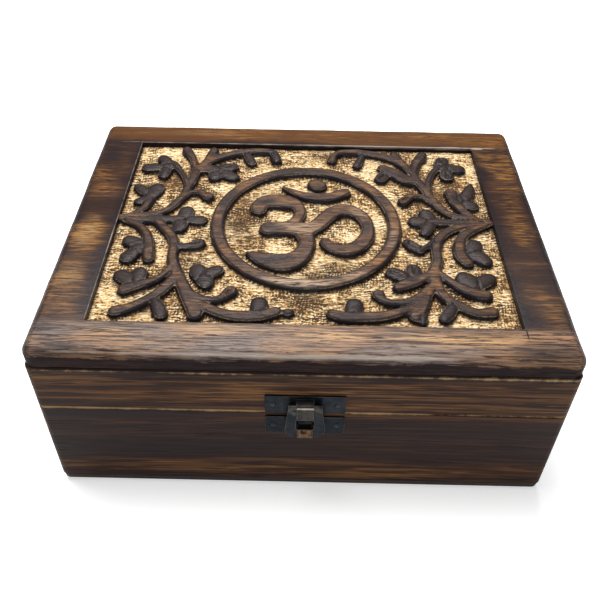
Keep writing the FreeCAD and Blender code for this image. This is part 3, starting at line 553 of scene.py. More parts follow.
def spot_group():
    """Soft oval place: 1 at its centre and 0 at its reach."""
    tree, given, result = new_group("Soft place", {"Vector": None, "Centre": None, "Reach": None},
                                    {"Mask": "NodeSocketFloat"})
    gap = vectors("DIVIDE", vectors("SUBTRACT", given["Vector"], given["Centre"]), given["Reach"])
    length = add(tree, "ShaderNodeVectorMath", {0: gap}, operation="LENGTH")["Value"]
    put(result["Mask"], ramp(length, 1.0, 0.1))
    return tree


def rub_group():
    """Ragged mask of rubbed places from a clean mask: more where the mask is strong."""
    tree, given, result = new_group("Rubbed edge", {"Vector": None, "Mask": 0.0, "Size": 300.0},
                                    {"Rubbed": "NodeSocketFloat"})
    scaled = add(tree, "ShaderNodeVectorMath", {0: given["Vector"], "Scale": given["Size"]},
                 operation="SCALE")[0]
    grit = clouds(scaled, (1, 1, 1), detail=4.0, roughness=0.65)
    broad = clouds(given["Vector"], (34, 34, 34), detail=2.0)
    reach = grit * 0.55 + broad * 0.45 + given["Mask"] - 1.0
    put(result["Rubbed"], ramp(reach, -0.10, 0.28))
    return tree


def placed(name, inputs):
    """A shader group in the tree of its coordinates; it is built the first time."""
    makers = {"Burnt grain": grain_group, "Rubbed edge": rub_group, "Soft place": spot_group}
    group = bpy.data.node_groups.get(name) or makers[name]()
    return add(inputs["Vector"].tree, "ShaderNodeGroup", inputs, node_tree=group)


def places(place, spots):
    """Strongest of a list of soft places on the lid: (x, y, reach in x, reach in y, strength) in mm."""
    return most(*(placed("Soft place", {
        "Vector": place, "Centre": (x * MM, y * MM, BOARD_TOP), "Reach": (reach_x * MM, reach_y * MM, 1),
    })["Mask"] * strength for x, y, reach_x, reach_y, strength in spots))


def rubbed_edge(place, mask, size):
    """Ragged mask of rubbed places."""
    return placed("Rubbed edge", {"Vector": place, "Mask": mask, "Size": size})["Rubbed"]


# Materials

def new_material(name):
    """Material with its shader: the material, the shader's inputs and the object's coordinates."""
    material = bpy.data.materials.new(name)
    material.use_nodes = True
    tree = material.node_tree
    return material, tree.nodes["Principled BSDF"].inputs, add(tree, "ShaderNodeTexCoord")["Object"]


def bare_wood(grain):
    """Colour of the unburnt wood inside the box."""
    return blend(ramp(grain["Height"], 0.2, 0.9), "bare_dark", "bare_pale")


def sheen(grain, dull, shiny):
    """Roughness that follows the fibres."""
    return ramp(grain["Height"], 0.1, 0.9, dull, shiny)


def wall_wood(name, shift, amber, scorch, turn=0.0):
    """Burnt wood of the walls: worn along the seam and the corners, plain inside."""
    material, shader, place = new_material(name)
    x, y, z = axes(place)
    across, depth = abs(x), abs(y)
    grain = placed("Burnt grain", {
        "Vector": stretched(place, (0.2, 0.6, 0.6), shift, turn), "Amber share": amber,
        "Scorch share": scorch, "Brown": "wall", "Amber": "wall_amber", "Dark": "wall_dark", "Warm": 0.15,
    })
    foot = ramp(z, 9 * MM, 3 * MM, 0.0, 0.75)
    # Darker patch above the latch
    dark_above_latch = near(x, 1 * MM, 7 * MM) * near(z, SEAM + 6 * MM, 4 * MM)
    body = blend(most(foot, dark_above_latch), grain["Color"], "scorch")
    seam = near(z, SEAM - 0.3 * MM, 1.0 * MM) * ramp(x, -20 * MM, 70 * MM, 0.80, 0.60)
    corner = near(across, WALL_HALF_LENGTH, 3 * MM) * near(depth, WALL_HALF_DEPTH, 3 * MM)
    corner = corner * ramp(x, -20 * MM, 20 * MM, 0.95, 0.55)
    crown = near(z, BOARD_LOW.z - 1 * MM, 2.5 * MM) * 0.55
    base = blend(rubbed_edge(place, most(seam, corner, crown), 260.0), body, "tan")
    inside = ramp(across, WALL_HALF_LENGTH - 1 * MM, WALL_HALF_LENGTH - 3 * MM)
    inside = inside * ramp(depth, WALL_HALF_DEPTH - 1 * MM, WALL_HALF_DEPTH - 3 * MM)
    put_all(shader, {
        "Base Color": blend(inside, base, bare_wood(grain)),
        "Roughness": sheen(grain, 0.66, 0.50),
        "Specular IOR Level": 0.10,
        "Normal": bumped(grain["Height"], 0.35, 0.4 * MM),
    })
    return material


def board_wood():
    """Burnt wood of the lid board: pale in front, partly as painted sheen, scorched at the outer edge and
    along the field, with painted highlights on the round-overs and lips and painted shade below the
    round-over.
    """
    material, shader, place = new_material("lid_board_wood")
    x, y, z = axes(place)
    across, depth = abs(x), abs(y)
    size = sizes()
    field_x, field_y = size.field_length / 2, size.field_breadth / 2
    field_front, field_back = size.field_shift - field_y, size.field_shift + field_y
    grain = placed("Burnt grain", {
        "Vector": stretched(place, (0.8, 1.15, 1.15)), "Amber share": 1.0, "Scorch share": 0.40,
        "Warm": places(place, WARM_PLACES),
    })
    # The front margin is painted paler and greyer: paler wood, and painted sheen where the light glances off
    # it
    front = ramp(y, field_front + 1 * MM, field_front - 3 * MM)
    thread = ramp(clouds(place, (46, 1000, 1000), detail=4.0, roughness=0.72, warp=1.6), 0.43, 0.56)
    cast = ramp(clouds(place, (26, 60, 60), (.9, .2, .4), detail=2.0), 0.40, 0.60)
    pale = blend(thread, "thread", blend(cast, "blush_and_sheen", "ash_and_sheen"))
    body = blend(front * 0.85, grain["Color"], pale)
    body = blend(ramp(y, 57 * MM, 61 * MM, 0.0, 0.4), body, "russet")
    body = blend(places(place, GILT_PLACES) * thread, body, "gilt")

    # Scorched: beside and behind the field, in its pocket, at the outer edge, and a chisel's slip; below the
    # round-over the wood is scorched and painted with shade down to the rim
    wobble = (clouds(place, (40, 40, 40)) - 0.5) * (12 * MM)
    beside = ramp(across + wobble, field_x + 7 * MM, field_x) * ramp(depth, 62 * MM, 56 * MM)
    behind = ramp(y + wobble, 62 * MM, 58 * MM) * ramp(y, 50 * MM, 56 * MM)
    rim = most(ramp(across + wobble, HALF_LENGTH - 5 * MM, HALF_LENGTH - 1 * MM),
               ramp(depth + wobble, HALF_DEPTH - 1 * MM, HALF_DEPTH + 2 * MM))
    pocket = ramp(across, 84 * MM, 82 * MM) * ramp(depth, 63 * MM, 61 * MM)
    pocket = pocket * ramp(z, BOARD_TOP - 0.2 * MM, BOARD_TOP - 0.9 * MM)
    # Painted shade below the round-over, over scorched wood, with a ragged upper edge
    ragged = z + (clouds(place, (120, 30, 30), roughness=0.6) - 0.5) * (5 * MM)
    lower = ramp(ragged, BOARD_TOP - 2.6 * MM, BOARD_TOP - 4.2 * MM, 0.0, 0.92)
    slip = near(x, field_x + 0.4 * MM, 0.45 * MM) * ramp(y, -68 * MM, -62 * MM) * front
    slip = slip.maths("MULTIPLY", 2.0, clamp=True)
    # Scorch, with the painted shade below the round-over among it
    burnt = most(beside * 0.9, behind * 0.75, rim * 0.75, places(place, BURNT_PLACES), pocket, lower, slip)
    base = blend(burnt, body, "scorch")

    # Pale: a painted highlight on the long round-overs; painted highlights with some rubbed wear on the
    # field's back and left lips and on the ends; two chips, a chisel's slip and a painted highlight on the
    # back lip
    # Painted highlight along the round-overs, standing in for the finish's reflection
    crest_highlight = near(depth, HALF_DEPTH - 1.3 * MM, 1.5 * MM)
    crest_highlight = crest_highlight * ramp(x, -70 * MM, -20 * MM, 0.65, 0.85) * ramp(x, 42 * MM, 66 * MM, 1.0, 0.3)
    # Painted highlights along the field's back and left lips, with some wear
    back_lip_highlight = near(y, field_back + 0.3 * MM, 0.8 * MM) * ramp(x, 0, 40 * MM, 1.0, 1.5)
    left_lip_highlight = near(x, -field_x - 0.3 * MM, 0.6 * MM) * ramp(depth, field_y + 2 * MM, field_y)
    upper = ramp(z, BOARD_TOP - 2 * MM, BOARD_TOP - 1 * MM)
    lip = most(most(back_lip_highlight, left_lip_highlight) * (upper * 0.64), crest_highlight)
    lip = lip * ramp(across, HALF_LENGTH - 3 * MM, HALF_LENGTH - 12 * MM)
    # The ends: rubbed wear and a painted highlight
    end = near(across, HALF_LENGTH - 0.8 * MM, 1 * MM) * 0.6
    lip = most(lip, end, places(place, CHIP_AND_HIGHLIGHT_PLACES) * upper)
    # Silver paints these highlights and the rubbed wear
    base = blend(rubbed_edge(stretched(place, (.35, 1, 1)), lip, 330.0) * 0.6, base, "silver_wear_and_highlight")
    ceiling = ramp(across, HALF_LENGTH - 6 * MM, HALF_LENGTH - 7 * MM)
    ceiling = ceiling * ramp(depth, HALF_DEPTH - 6 * MM, HALF_DEPTH - 7 * MM)
    ceiling = ceiling * ramp(z, BOARD_LOW.z + 2 * MM, BOARD_LOW.z + 1 * MM)
    polish = ramp(y, -60 * MM, 10 * MM, 0.22, 0.03)
    # A plain level as well, which holds where the link is dropped
    put(shader["Specular IOR Level"], 0.10)
    put_all(shader, {
        "Base Color": blend(ceiling, base, bare_wood(grain)),
        "Roughness": sheen(grain, 0.46, 0.28),
        "Specular IOR Level": polish * ramp(z, BOARD_TOP - 3.6 * MM, BOARD_TOP - 1.6 * MM, 0.04, 1.0),
        "Normal": bumped(grain["Height"], 0.45, 0.5 * MM),
    })
    return material


def carving_wood():
    """Carved field: grain on the tops, charred edges, walls and creases painted dark for their shade, pale
    punched ground with soot and painted shade.
    """
    material, shader, place = new_material("carved_wood")
    x, y, _ = axes(place)
    rise, inward, crown, groove, soot, toast, burn = (attribute(place, name) for name in LAYERS)
    grain = placed("Burnt grain", {
        "Vector": place, "Amber share": 0.75, "Scorch share": 0.22, "Brown": "relief", "Warm": 0.4})
    fleck = clouds(place, (1100, 1700, 900), roughness=0.7)
    mottle = clouds(place, (70, 110, 70))
    uneven = (mottle - 0.5) * 0.9
    smoked = burn - places(place, FORK_PLACES) * 0.6 + places(place, SMOKED_PLACES) * 0.6
    top = blend(ramp(smoked + uneven, 0.1, 0.7) * 0.94, grain["Color"], "plum")
    # Pale rubbed tops, some of them painted sheen, as on the ring's front
    rubbed = places(place, RUBBED_AND_SHEEN_PLACES) * ramp(grain["Height"], 0.50, 0.70)
    top = blend(rubbed * 0.9, top, "handled_and_sheen")
    edge = ramp(inward + uneven * 0.6, 0.62, 0.05)
    # Painted shade in the creases where lobes meet and on the lobes' sloping rims, over charring
    crease_shade = most(ramp(crown, 0.60, 0.05), ramp(groove, 0.2, 0.8))
    top = blend(most(edge * 0.9, crease_shade * 0.9), top, "scorch")
    arris = ramp(inward, 0.15, 0.05) * ramp(mottle, 0.44, 0.58) * ramp(fleck, 0.40, 0.60, 0.1, 0.75)
    top = blend(arris, top, "arris")
    # The relief's walls go near black: charred wood and painted shade on the walls
    top = blend(ramp(rise, 0.69, 0.78), "char", top)

    # Tool marks: wavy ridges left by a small gouge, hatched across, with dark nicks in the gaps
    drift = clouds(place, (55, 75, 0), detail=1.0)
    waver = clouds(place, (430, 520, 0), detail=2.0, roughness=0.6)
    worked = clouds(place, (62, 80, 0), (.5, .1, 0), detail=2.0)

    def gouged(axis, pitch, sway):
        return (axis * (2 * math.pi / pitch) + drift * sway + waver * 13.0).maths("SINE")

    ridge = gouged(y, 1.45 * MM, 38.0) * ramp(drift, 0.35, 0.60, 0.10, 0.34)
    hatch = gouged(x, 1.25 * MM, -22.0) * ramp(worked, 0.42, 0.62, 0.04, 0.22)
    ridge = ridge + hatch + 0.5
    flake = clouds(place, (420, 950, 0), (.2, .6, 0), detail=2.0, roughness=0.6, warp=0.8)
    broken = (fleck - 0.5) * 1.2 + (flake - 0.5) * 1.9
    dull = (places(place, DULL_PLACES) - places(place, PALE_PLACES)) * 0.34
    dull = ramp(worked, 0.36, 0.66, -0.04, 0.30) + dull
    tone = ridge + broken - dull
    nicks = add(place.tree, "ShaderNodeTexVoronoi", {
        "Vector": stretched(place, (430, 820, 0)), "Scale": 1.0})["Distance"]
    cut = ramp(nicks + broken * 0.4 - dull, 0.40, 0.14) * ramp(ridge, 0.95, 0.45)
    pale = blend(ramp(tone, 0.05, 0.45), "toast", "gold")
    pale = blend(ramp(tone, 0.38, 0.78), pale, "cream")
    # Soot spots and painted shade at the relief's foot and the field's edge brown the ground, then darken it
    pale = blend(most(toast, soot * 0.85) * ramp(tone, 0.85, 0.25, 0.3, 1.0), pale, "toast")
    pale = blend(cut * 0.92, pale, "pit")
    soot_and_shade_mask = soot * ramp(fleck + (0.6 - ridge) * 0.25, 0.32, 0.58)
    pale = blend(soot_and_shade_mask.maths("MULTIPLY", 0.94, clamp=True), pale, "soot")

    raised = ramp(rise, 0.05, 0.30)
    relief = grain["Height"] * (raised * 0.5) + (ridge + fleck * 0.5 - cut) * (1.0 - raised)
    put_all(shader, {
        "Base Color": blend(raised, pale, top),
        "Roughness": add(place.tree, "ShaderNodeMix", {0: raised, 2: 0.75, 3: sheen(grain, 0.40, 0.24)})[0],
        "Specular IOR Level": 0.13,
        "Normal": bumped(relief, 0.8, 0.6 * MM),
    })
    return material


def foot_wood():
    """Dark edge and underside of the bottom board, plain on top."""
    material, shader, place = new_material("bottom_wood")
    grain = placed("Burnt grain", {
        "Vector": stretched(place, (1, 1, 1), (.37, .21, .13)), "Amber share": 0.15, "Scorch share": 0.85,
        "Brown": "wall"})
    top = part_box("base_bottom")[1].z
    inside = ramp(axes(place)[2], top - 0.4 * MM, top - 0.2 * MM)
    put_all(shader, {
        "Base Color": blend(inside, grain["Color"], bare_wood(grain)),
        "Roughness": sheen(grain, 0.72, 0.55),
        "Normal": bumped(grain["Height"], 0.35, 0.4 * MM),
    })
    return material


def worn_metal(name, base, rub, roughness, bare="bronze", lip=False, strap=False):
    """Blackened sheet metal, rubbed bright at the bevels, browned on the strap with a painted highlight along
    its bend, copper on the lip.
    """
    material, shader, place = new_material(name)
    x, y, z = axes(place)
    keen = attribute(place, "worn")
    grime = clouds(place, (420, 420, 420), detail=4.0, roughness=0.65)
    broad = clouds(place, (130, 130, 130), detail=2.0)
    lighter = (*(2.1 * part for part in colour(base)[:3]), 1)
    skin = blend(ramp(grime, 0.35, 0.7, 0.0, 0.5), base, lighter)
    skin = blend(ramp(broad, 0.45, 0.7, 0.0, 0.35), skin, "rust")
    if strap:
        proud = ramp(y, -HALF_DEPTH - 1.6 * MM, -HALF_DEPTH - 2.4 * MM)
        skin = blend(proud * ramp(grime, 0.35, 0.60, 0.25, 1.0) * 0.6, skin, "dust")
        # Painted highlight along the strap's bend, in the bare metal's colour
        crest_highlight = proud * near(z, SEAM + 8.2 * MM, 0.6 * MM)
        keen = most(keen, crest_highlight * 1.2) * ramp(proud, 0.0, 1.0, 0.8, 1.5)
    if lip:
        low = ramp(z, SEAM - 5.6 * MM, SEAM - 6.4 * MM) * ramp(near(x, 1 * MM, 4.2 * MM), 0.25, 0.55)
        skin = blend(low * ramp(grime, 0.36, 0.56) * 0.95, skin, "copper")
        ears = ramp(z, SEAM + 1.5 * MM, SEAM + 3.5 * MM) * ramp(grime, 0.38, 0.58)
        skin = blend(ears * 0.6, skin, "ear")
    put_all(shader, {
        "Base Color": blend(rubbed_edge(place, keen * rub, 900.0), skin, bare),
        "Metallic": 0.75,
        "Specular IOR Level": 0.12,
        "Roughness": ramp(grime, 0.3, 0.7, roughness + 0.1, roughness - 0.08),
        "Normal": bumped(grime, 0.25, 0.2 * MM),
    })
    return material


# Meshes

def finish_piece(name, bm, material, body, nodes, sharp=35):
    """Turns a bmesh into a piece that rides on a body and stands for some nodes."""
    mesh = bpy.data.meshes.new(name)
    bm.to_mesh(mesh)
    bm.free()
    for polygon in mesh.polygons:
        polygon.use_smooth = True
    mesh.set_sharp_from_angle(angle=math.radians(sharp))
    mesh.materials.append(material)
    piece = bpy.data.objects.new(name, mesh)
    bpy.context.scene.collection.objects.link(piece)
    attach(piece, body)
    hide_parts(*nodes)
    return piece


def weighted(piece):
    """Keeps large flat faces flat beside rounded edges."""
    modifier = piece.modifiers.new("Flat faces", "WEIGHTED_NORMAL")
    modifier.keep_sharp = True


def softened_copy(node, material, body):
    """Copy of a CAD piece with its sharp edges rounded and marked as worn."""
    bm = bmesh.new()
    bm.from_mesh(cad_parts[node].data)
    bmesh.ops.remove_doubles(bm, verts=bm.verts, dist=TOUCH)
    bmesh.ops.dissolve_limit(bm, angle_limit=math.radians(1), verts=bm.verts, edges=bm.edges)
    sharp = [edge for edge in bm.edges
             if edge.is_manifold and edge.calc_face_angle() > math.radians(32)]
    worn = bm.faces.layers.float.new("worn")
    made = bmesh.ops.bevel(bm, geom=sharp, offset=sizes().metal_edge, offset_type="OFFSET", affect="EDGES",
                           segments=2, profile=0.5, material=-1, clamp_overlap=True)
    for face in made["faces"]:
        face[worn] = 1
    weighted(finish_piece(node + "_worn", bm, material, body, [node]))


# Carving

def smooth_path(points, steps=6):
    """Points of a smooth curve through a stroke's points."""
    if len(points) == 2:
        return points
    knots = np.array([points[0]] + list(points) + [points[-1]], float)
    path = []
    for p0, p1, p2, p3 in zip(knots, knots[1:], knots[2:], knots[3:]):
        for t in np.arange(steps) / steps:
            path.append(0.5 * (2 * p1 + (p2 - p0) * t + (2 * p0 - 5 * p1 + 4 * p2 - p3) * t ** 2
                               + (3 * p1 - p0 - 3 * p2 + p3) * t ** 3))
    return path + [knots[-1]]


def plump(points, fullness=0.24):
    """A straight lobe made oval: wider in its middle, with its ends kept where they are."""
    (ax, ay, ar), (bx, by, br) = points
    run = max(math.hypot(bx - ax, by - ay), 1e-9)
    pull = min(fullness * ar / run, 0.4)
    start = (ax + (bx - ax) * pull, ay + (by - ay) * pull, ar * (1 + 0.8 * fullness))
    belly = ((ax + bx) / 2, (ay + by) / 2, (ar + br) / 2 * (1 + fullness))
    return [start, belly, (bx, by, br)]


def dome(depth, breadth):
    """Rounded rise from 0 at an edge to 1 at a breadth inside it."""
    return 1 - (1 - np.clip(depth / breadth, 0, 1)) ** 2


def add_stroke(inside, x, y, points, join, crown=None, breadth=None, groove=None):
    """Adds one stroke to a field of distances inside the outline, its crown and its creases to others."""
    path = smooth_path(points)
    widest = max(point[2] for point in path)
    reach = widest + 2.5 * MM
    low = np.min([point[:2] for point in path], axis=0) - reach
    high = np.max([point[:2] for point in path], axis=0) + reach
    part = (slice(*np.searchsorted(y[:, 0], (low[1], high[1]))),
            slice(*np.searchsorted(x[0], (low[0], high[0]))))
    here_x, here_y = x[part], y[part]
    own = np.full(here_x.shape, -1.0)
    for (ax, ay, ar), (bx, by, br) in zip(path, path[1:]):
        run = max((bx - ax) ** 2 + (by - ay) ** 2, 1e-12)
        t = np.clip(((here_x - ax) * (bx - ax) + (here_y - ay) * (by - ay)) / run, 0, 1)
        gap = np.hypot(here_x - ax - t * (bx - ax), here_y - ay - t * (by - ay))
        own = np.maximum(own, ar + t * (br - ar) - gap)
    if crown is not None:
        mine, lower = dome(own, min(breadth, 0.9 * widest)), crown[part]
        if groove is not None:
            meet = np.clip(1 - np.abs(mine - lower) / 0.2, 0, 1) * (np.minimum(mine, lower) > 0.12)
            groove[part] = np.maximum(np.where(mine > lower, 0, groove[part]), meet)
        crown[part] = np.maximum(lower, mine)
    other = inside[part]
    overlap = np.clip(join - np.abs(own - other), 0, None)
    inside[part] = np.maximum(own, other) + overlap ** 2 / (4 * join)


def smooth_step(value, low, high):
    """Smooth step from 0 to 1."""
    t = np.clip((value - low) / (high - low), 0, 1)
    return t * t * (3 - 2 * t)


def soft_noise(x, y, cell, seed):
    """Smooth random hills of one size, from 0 to 1."""
    random = np.random.default_rng(seed)
    u, v = x / cell, y / cell
    u, v = u - u.min(), v - v.min()
    hills = random.random((int(v.max()) + 3, int(u.max()) + 3))
    i, j = v.astype(int), u.astype(int)
    s, t = smooth_step(v - i, 0, 1), smooth_step(u - j, 0, 1)
    low = hills[i, j] * (1 - t) + hills[i, j + 1] * t
    high = hills[i + 1, j] * (1 - t) + hills[i + 1, j + 1] * t
    return low * (1 - s) + high * s


def punched_dents(x, y):
    """Rows of small tool marks on the ground, from 0 to 1."""
    pitch_x, pitch_y = 1.75 * MM, 1.42 * MM
    warp_x = (soft_noise(x, y, 11 * MM, seed=5) - 0.5) * 3.5 * MM
    warp_y = (soft_noise(x, y, 9 * MM, seed=6) - 0.5) * 3.0 * MM
    row = (y + warp_y) / pitch_y
    index = np.floor(row)
    stagger = np.modf(np.abs(np.sin(index * 12.9898) * 43758.5453))[0]
    column = (x + warp_x) / pitch_x + stagger
    across = np.abs(column - np.floor(column) - 0.5) * pitch_x
    along = np.abs(row - index - 0.5) * pitch_y
    depth = np.exp(-(across / (0.62 * MM)) ** 2 - (along / (0.36 * MM)) ** 2)
    return depth * (0.35 + 0.65 * soft_noise(x, y, 2.2 * MM, seed=7))


def carved_outline(x, y):
    """How far each point lies inside the relief, its crown, creases, how burnt it is, and the spoon cuts."""
    size = sizes()
    half_x, half_y = size.field_length / 2, size.field_breadth / 2
    radius = size.ring_radius
    join, edge = 1.2 * MM, 0.9 * MM

    def vine(shares):
        points = [(u * half_x, size.field_shift + v * half_y, w * half_y) for u, v, w in shares]
        return plump(points) if len(points) == 2 else points

    inside, petals, sign, cuts = (np.full(x.shape, -1.0) for _ in range(4))
    crown, groove = np.zeros(x.shape), np.zeros(x.shape)
    for shares in VINE_SHARES:
        if len(shares) < 4:
            add_stroke(inside, x, y, vine(shares), join, crown, 4 * MM, groove)
            add_stroke(petals, x, y, vine(shares), join)
        else:
            add_stroke(inside, x, y, vine(shares), join, crown, 1.1 * MM)
    for shares in SIGN_SHARES:
        add_stroke(sign, x, y, [(u * radius, v * radius, w * radius) for u, v, w in shares], join, crown, edge)
    for shares in GOUGE_SHARES:
        add_stroke(cuts, x, y, vine(shares), 0.3 * MM)
    band = size.ring_band / 2
    ring = band - np.abs(np.hypot(x, y - size.ring_shift) - radius + band)
    sign = np.maximum(sign, ring)
    crown = np.maximum(crown, dome(ring, edge))
    burn = np.where(sign > inside, 0.1, 0.36 + 0.34 * smooth_step(petals, -1 * MM, 1 * MM))
    return np.maximum(inside, sign), crown, groove, burn, cuts


def soot_field(x, y):
    """Soot on the ground in chosen spots, broken up by soft hills."""
    half_y = sizes().field_breadth / 2
    soot = np.zeros(x.shape)
    for u, v, reach, strength in SOOT_SPOT_SHARES:
        gap = np.hypot(x - u * half_y, (y - v * half_y) * 1.2)
        soot = np.maximum(soot, strength * np.exp(-(gap / (reach * half_y)) ** 2))
    return soot * (0.6 + 0.9 * soft_noise(x, y, 6 * MM, seed=11))


def carving_mesh():
    """Closed slab whose top is carved: a grid lifted to the heights of the relief."""
    size = sizes()
    columns, rows = CELLS
    bm = bmesh.new()
    place = Matrix.Translation((0, size.field_shift, 0)) @ Matrix.Diagonal(
        (size.field_length, size.field_breadth, 1, 1))
    bmesh.ops.create_grid(bm, x_segments=columns, y_segments=rows, size=0.5, matrix=place)
    handles = {name: bm.verts.layers.float.new(name) for name in LAYERS}
    verts = sorted(bm.verts, key=lambda v: (round(v.co.y, 7), round(v.co.x, 7)))
    flat = np.array([v.co for v in verts])
    x, y = (flat[:, axis].reshape(rows + 1, columns + 1) for axis in (0, 1))

    # Points beside the outline move onto it, so that the carved edges run clean
    inside, crown, groove, burn, cuts = carved_outline(x, y)
    slope_y, slope_x = np.gradient(inside, y[:, 0], x[0])
    steep = np.clip(np.hypot(slope_x, slope_y), 0.5, None)
    close = np.abs(inside) < 0.5 * size.field_length / columns
    close[[0, -1], :] = False
    close[:, [0, -1]] = False
    moved_x = x - np.where(close, inside * slope_x / steep ** 2, 0)
    moved_y = y - np.where(close, inside * slope_y / steep ** 2, 0)
    inside = np.where(close, 0, inside)

    foot = smooth_step(inside, -0.45 * MM, 0)
    above = SHOULDER_SHARE * dome(inside, size.shoulder) + DOME_SHARE * crown
    rise = WALL_SHARE * foot + above * (inside > 0)
    dents = punched_dents(x, y) * (1 - smooth_step(inside, -0.6 * MM, -0.2 * MM))
    waves = (soft_noise(x, y, 4 * MM, seed=21) - 0.5) * 0.45 * MM
    tops = (soft_noise(x, y, 5 * MM, seed=22) - 1.0) * 0.25 * MM
    spoon = smooth_step(cuts, -0.5 * MM, 0.8 * MM) * 0.9 * MM + groove * 0.45 * MM
    height = BOARD_TOP - size.field_recess * (1 - rise)
    height = height + np.where(inside > -0.3 * MM, tops - spoon * (inside > 0), waves - dents * 0.42 * MM)

    # Soot lies in its spots; painted shade lies at the foot of the walls, more in front of them, and along the
    # field's edge, in the same soot layer
    gap = np.clip(-inside, 0, None)
    in_front = np.clip(slope_y / steep, 0, 1)
    to_edge = np.minimum(size.field_length / 2 - np.abs(x),
                         size.field_breadth / 2 - np.abs(y - size.field_shift))
    soot = (soot_field(x, y) + 0.75 * np.exp(-gap / (0.45 * MM)) + 0.8 * in_front * np.exp(-gap / (1.0 * MM))
            + 0.7 * np.exp(-to_edge / (0.8 * MM)))
    inward = np.clip(inside / (3 * MM), 0, 1)
    toast = np.exp(-np.minimum(gap, to_edge) / (1.0 * MM))
    layers = dict(zip(LAYERS, (rise, inward, crown, groove, np.clip(soot, 0, 1), toast, burn)))
    for index, vert in enumerate(verts):
        vert.co = (moved_x.flat[index], moved_y.flat[index], height.flat[index])
        for name, handle in handles.items():
            vert[handle] = layers[name].flat[index]
    rim = [edge for edge in bm.edges if edge.is_boundary]
    skirt = bmesh.ops.extrude_edge_only(bm, edges=rim)["geom"]
    for vert in skirt:
        if isinstance(vert, bmesh.types.BMVert):
            vert.co.z = BOARD_TOP - size.field_recess - size.slab
    bmesh.ops.contextual_create(bm, geom=[edge for edge in bm.edges if edge.is_boundary])
    bmesh.ops.recalc_face_normals(bm, faces=bm.faces)
    return bm


def margin_mesh():
    """Lid board with rounded edges and a pocket for the carved field."""
    size = sizes()
    bm = bmesh.new()
    thickness = BOARD_TOP - BOARD_LOW.z
    place = Matrix.Translation((0, 0, BOARD_LOW.z + thickness / 2)) @ Matrix.Diagonal(
        (2 * HALF_LENGTH, 2 * HALF_DEPTH, thickness, 1))
    bmesh.ops.create_cube(bm, size=1, matrix=place)

    def level_edges(height):
        return [e for e in bm.edges if all(abs(v.co.z - height) < TOUCH for v in e.verts)]

    def rounded(edges, offset, segments):
        bmesh.ops.bevel(bm, geom=edges, offset=offset, segments=segments, affect="EDGES", profile=0.5,
                        material=-1)

    upright = [e for e in bm.edges if abs(e.verts[0].co.z - e.verts[1].co.z) > TOUCH]
    rounded(upright, size.board_corner, 6)
    rounded(level_edges(BOARD_TOP), size.board_round, 8)
    rounded(level_edges(BOARD_LOW.z), size.board_under, 3)

    half_x, half_y = size.field_length / 2, size.field_breadth / 2
    for axis, cut in ((0, -half_x), (0, half_x),
                      (1, size.field_shift - half_y), (1, size.field_shift + half_y)):
        top = [f for f in bm.faces if f.normal.z > 0.999 and f.calc_center_median().z > BOARD_TOP - 1e-5]
        geom = top + list({e for f in top for e in f.edges}) + list({v for f in top for v in f.verts})
        direction = Vector((0, 0, 0))
        direction[axis] = 1
        bmesh.ops.bisect_plane(bm, geom=geom, plane_co=direction * cut, plane_no=direction)
    middle = min((f for f in bm.faces if f.normal.z > 0.999), key=lambda f: f.calc_center_median().xy.length)
    pocket = bmesh.ops.extrude_face_region(bm, geom=[middle])["geom"]
    bmesh.ops.delete(bm, geom=[middle], context="FACES")
    drop = [v for v in pocket if isinstance(v, bmesh.types.BMVert)]
    bmesh.ops.translate(bm, verts=drop, vec=(0, 0, -size.field_recess - size.slab))
    lip = [e for e in level_edges(BOARD_TOP)
           if all(abs(v.co.x) < half_x + TOUCH and abs(v.co.y - size.field_shift) < half_y + TOUCH
                  for v in e.verts)]
    rounded(lip, 0.5 * MM, 2)

    # The long edges get enough points to be slightly uneven, as hand work is
    for axis, cuts in ((0, 56), (1, 40)):
        long = [e for e in bm.edges if abs(e.verts[0].co[axis] - e.verts[1].co[axis]) > 100 * MM]
        bmesh.ops.subdivide_edges(bm, edges=long, cuts=cuts)
    edge_zone = 6 * MM
    for vert in bm.verts:
        if vert.co.z > BOARD_LOW.z + 0.5 * MM:
            spot = vert.co * 90
            outward = max(abs(vert.co.x) - HALF_LENGTH, abs(vert.co.y) - HALF_DEPTH) + edge_zone
            share = min(max(outward / edge_zone, 0), 1)
            vert.co.z -= share * 0.55 * MM * (0.5 + 0.5 * noise.noise(spot))
            vert.co.xy *= 1 - share * 0.003 * (0.5 + 0.5 * noise.noise(spot + Vector((7, 3, 1))))
    bmesh.ops.recalc_face_normals(bm, faces=bm.faces)
    return bm


# Stage

def set_material(node, material):
    """Gives a CAD piece its finish."""
    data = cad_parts[node].data
    data.materials.clear()
    data.materials.append(material)


def make_floor():
    """Pale floor that shows white to the camera and keeps the shadow."""
    bm = bmesh.new()
    bmesh.ops.create_grid(bm, x_segments=1, y_segments=1, size=2)
    mesh = bpy.data.meshes.new("floor")
    bm.to_mesh(mesh)
    bm.free()
    material, shader, place = new_material("floor_white")
    put_all(shader, {
        "Base Color": "floor", "Roughness": 0.9, "Specular IOR Level": 0.0, "Emission Color": (1, 1, 1, 1),
        "Emission Strength": add(place.tree, "ShaderNodeLightPath")["Is Camera Ray"] * 0.45,
    })
    mesh.materials.append(material)
    floor = bpy.data.objects.new("floor", mesh)
    floor.location.z = -0.2 * MM
    bpy.context.scene.collection.objects.link(floor)


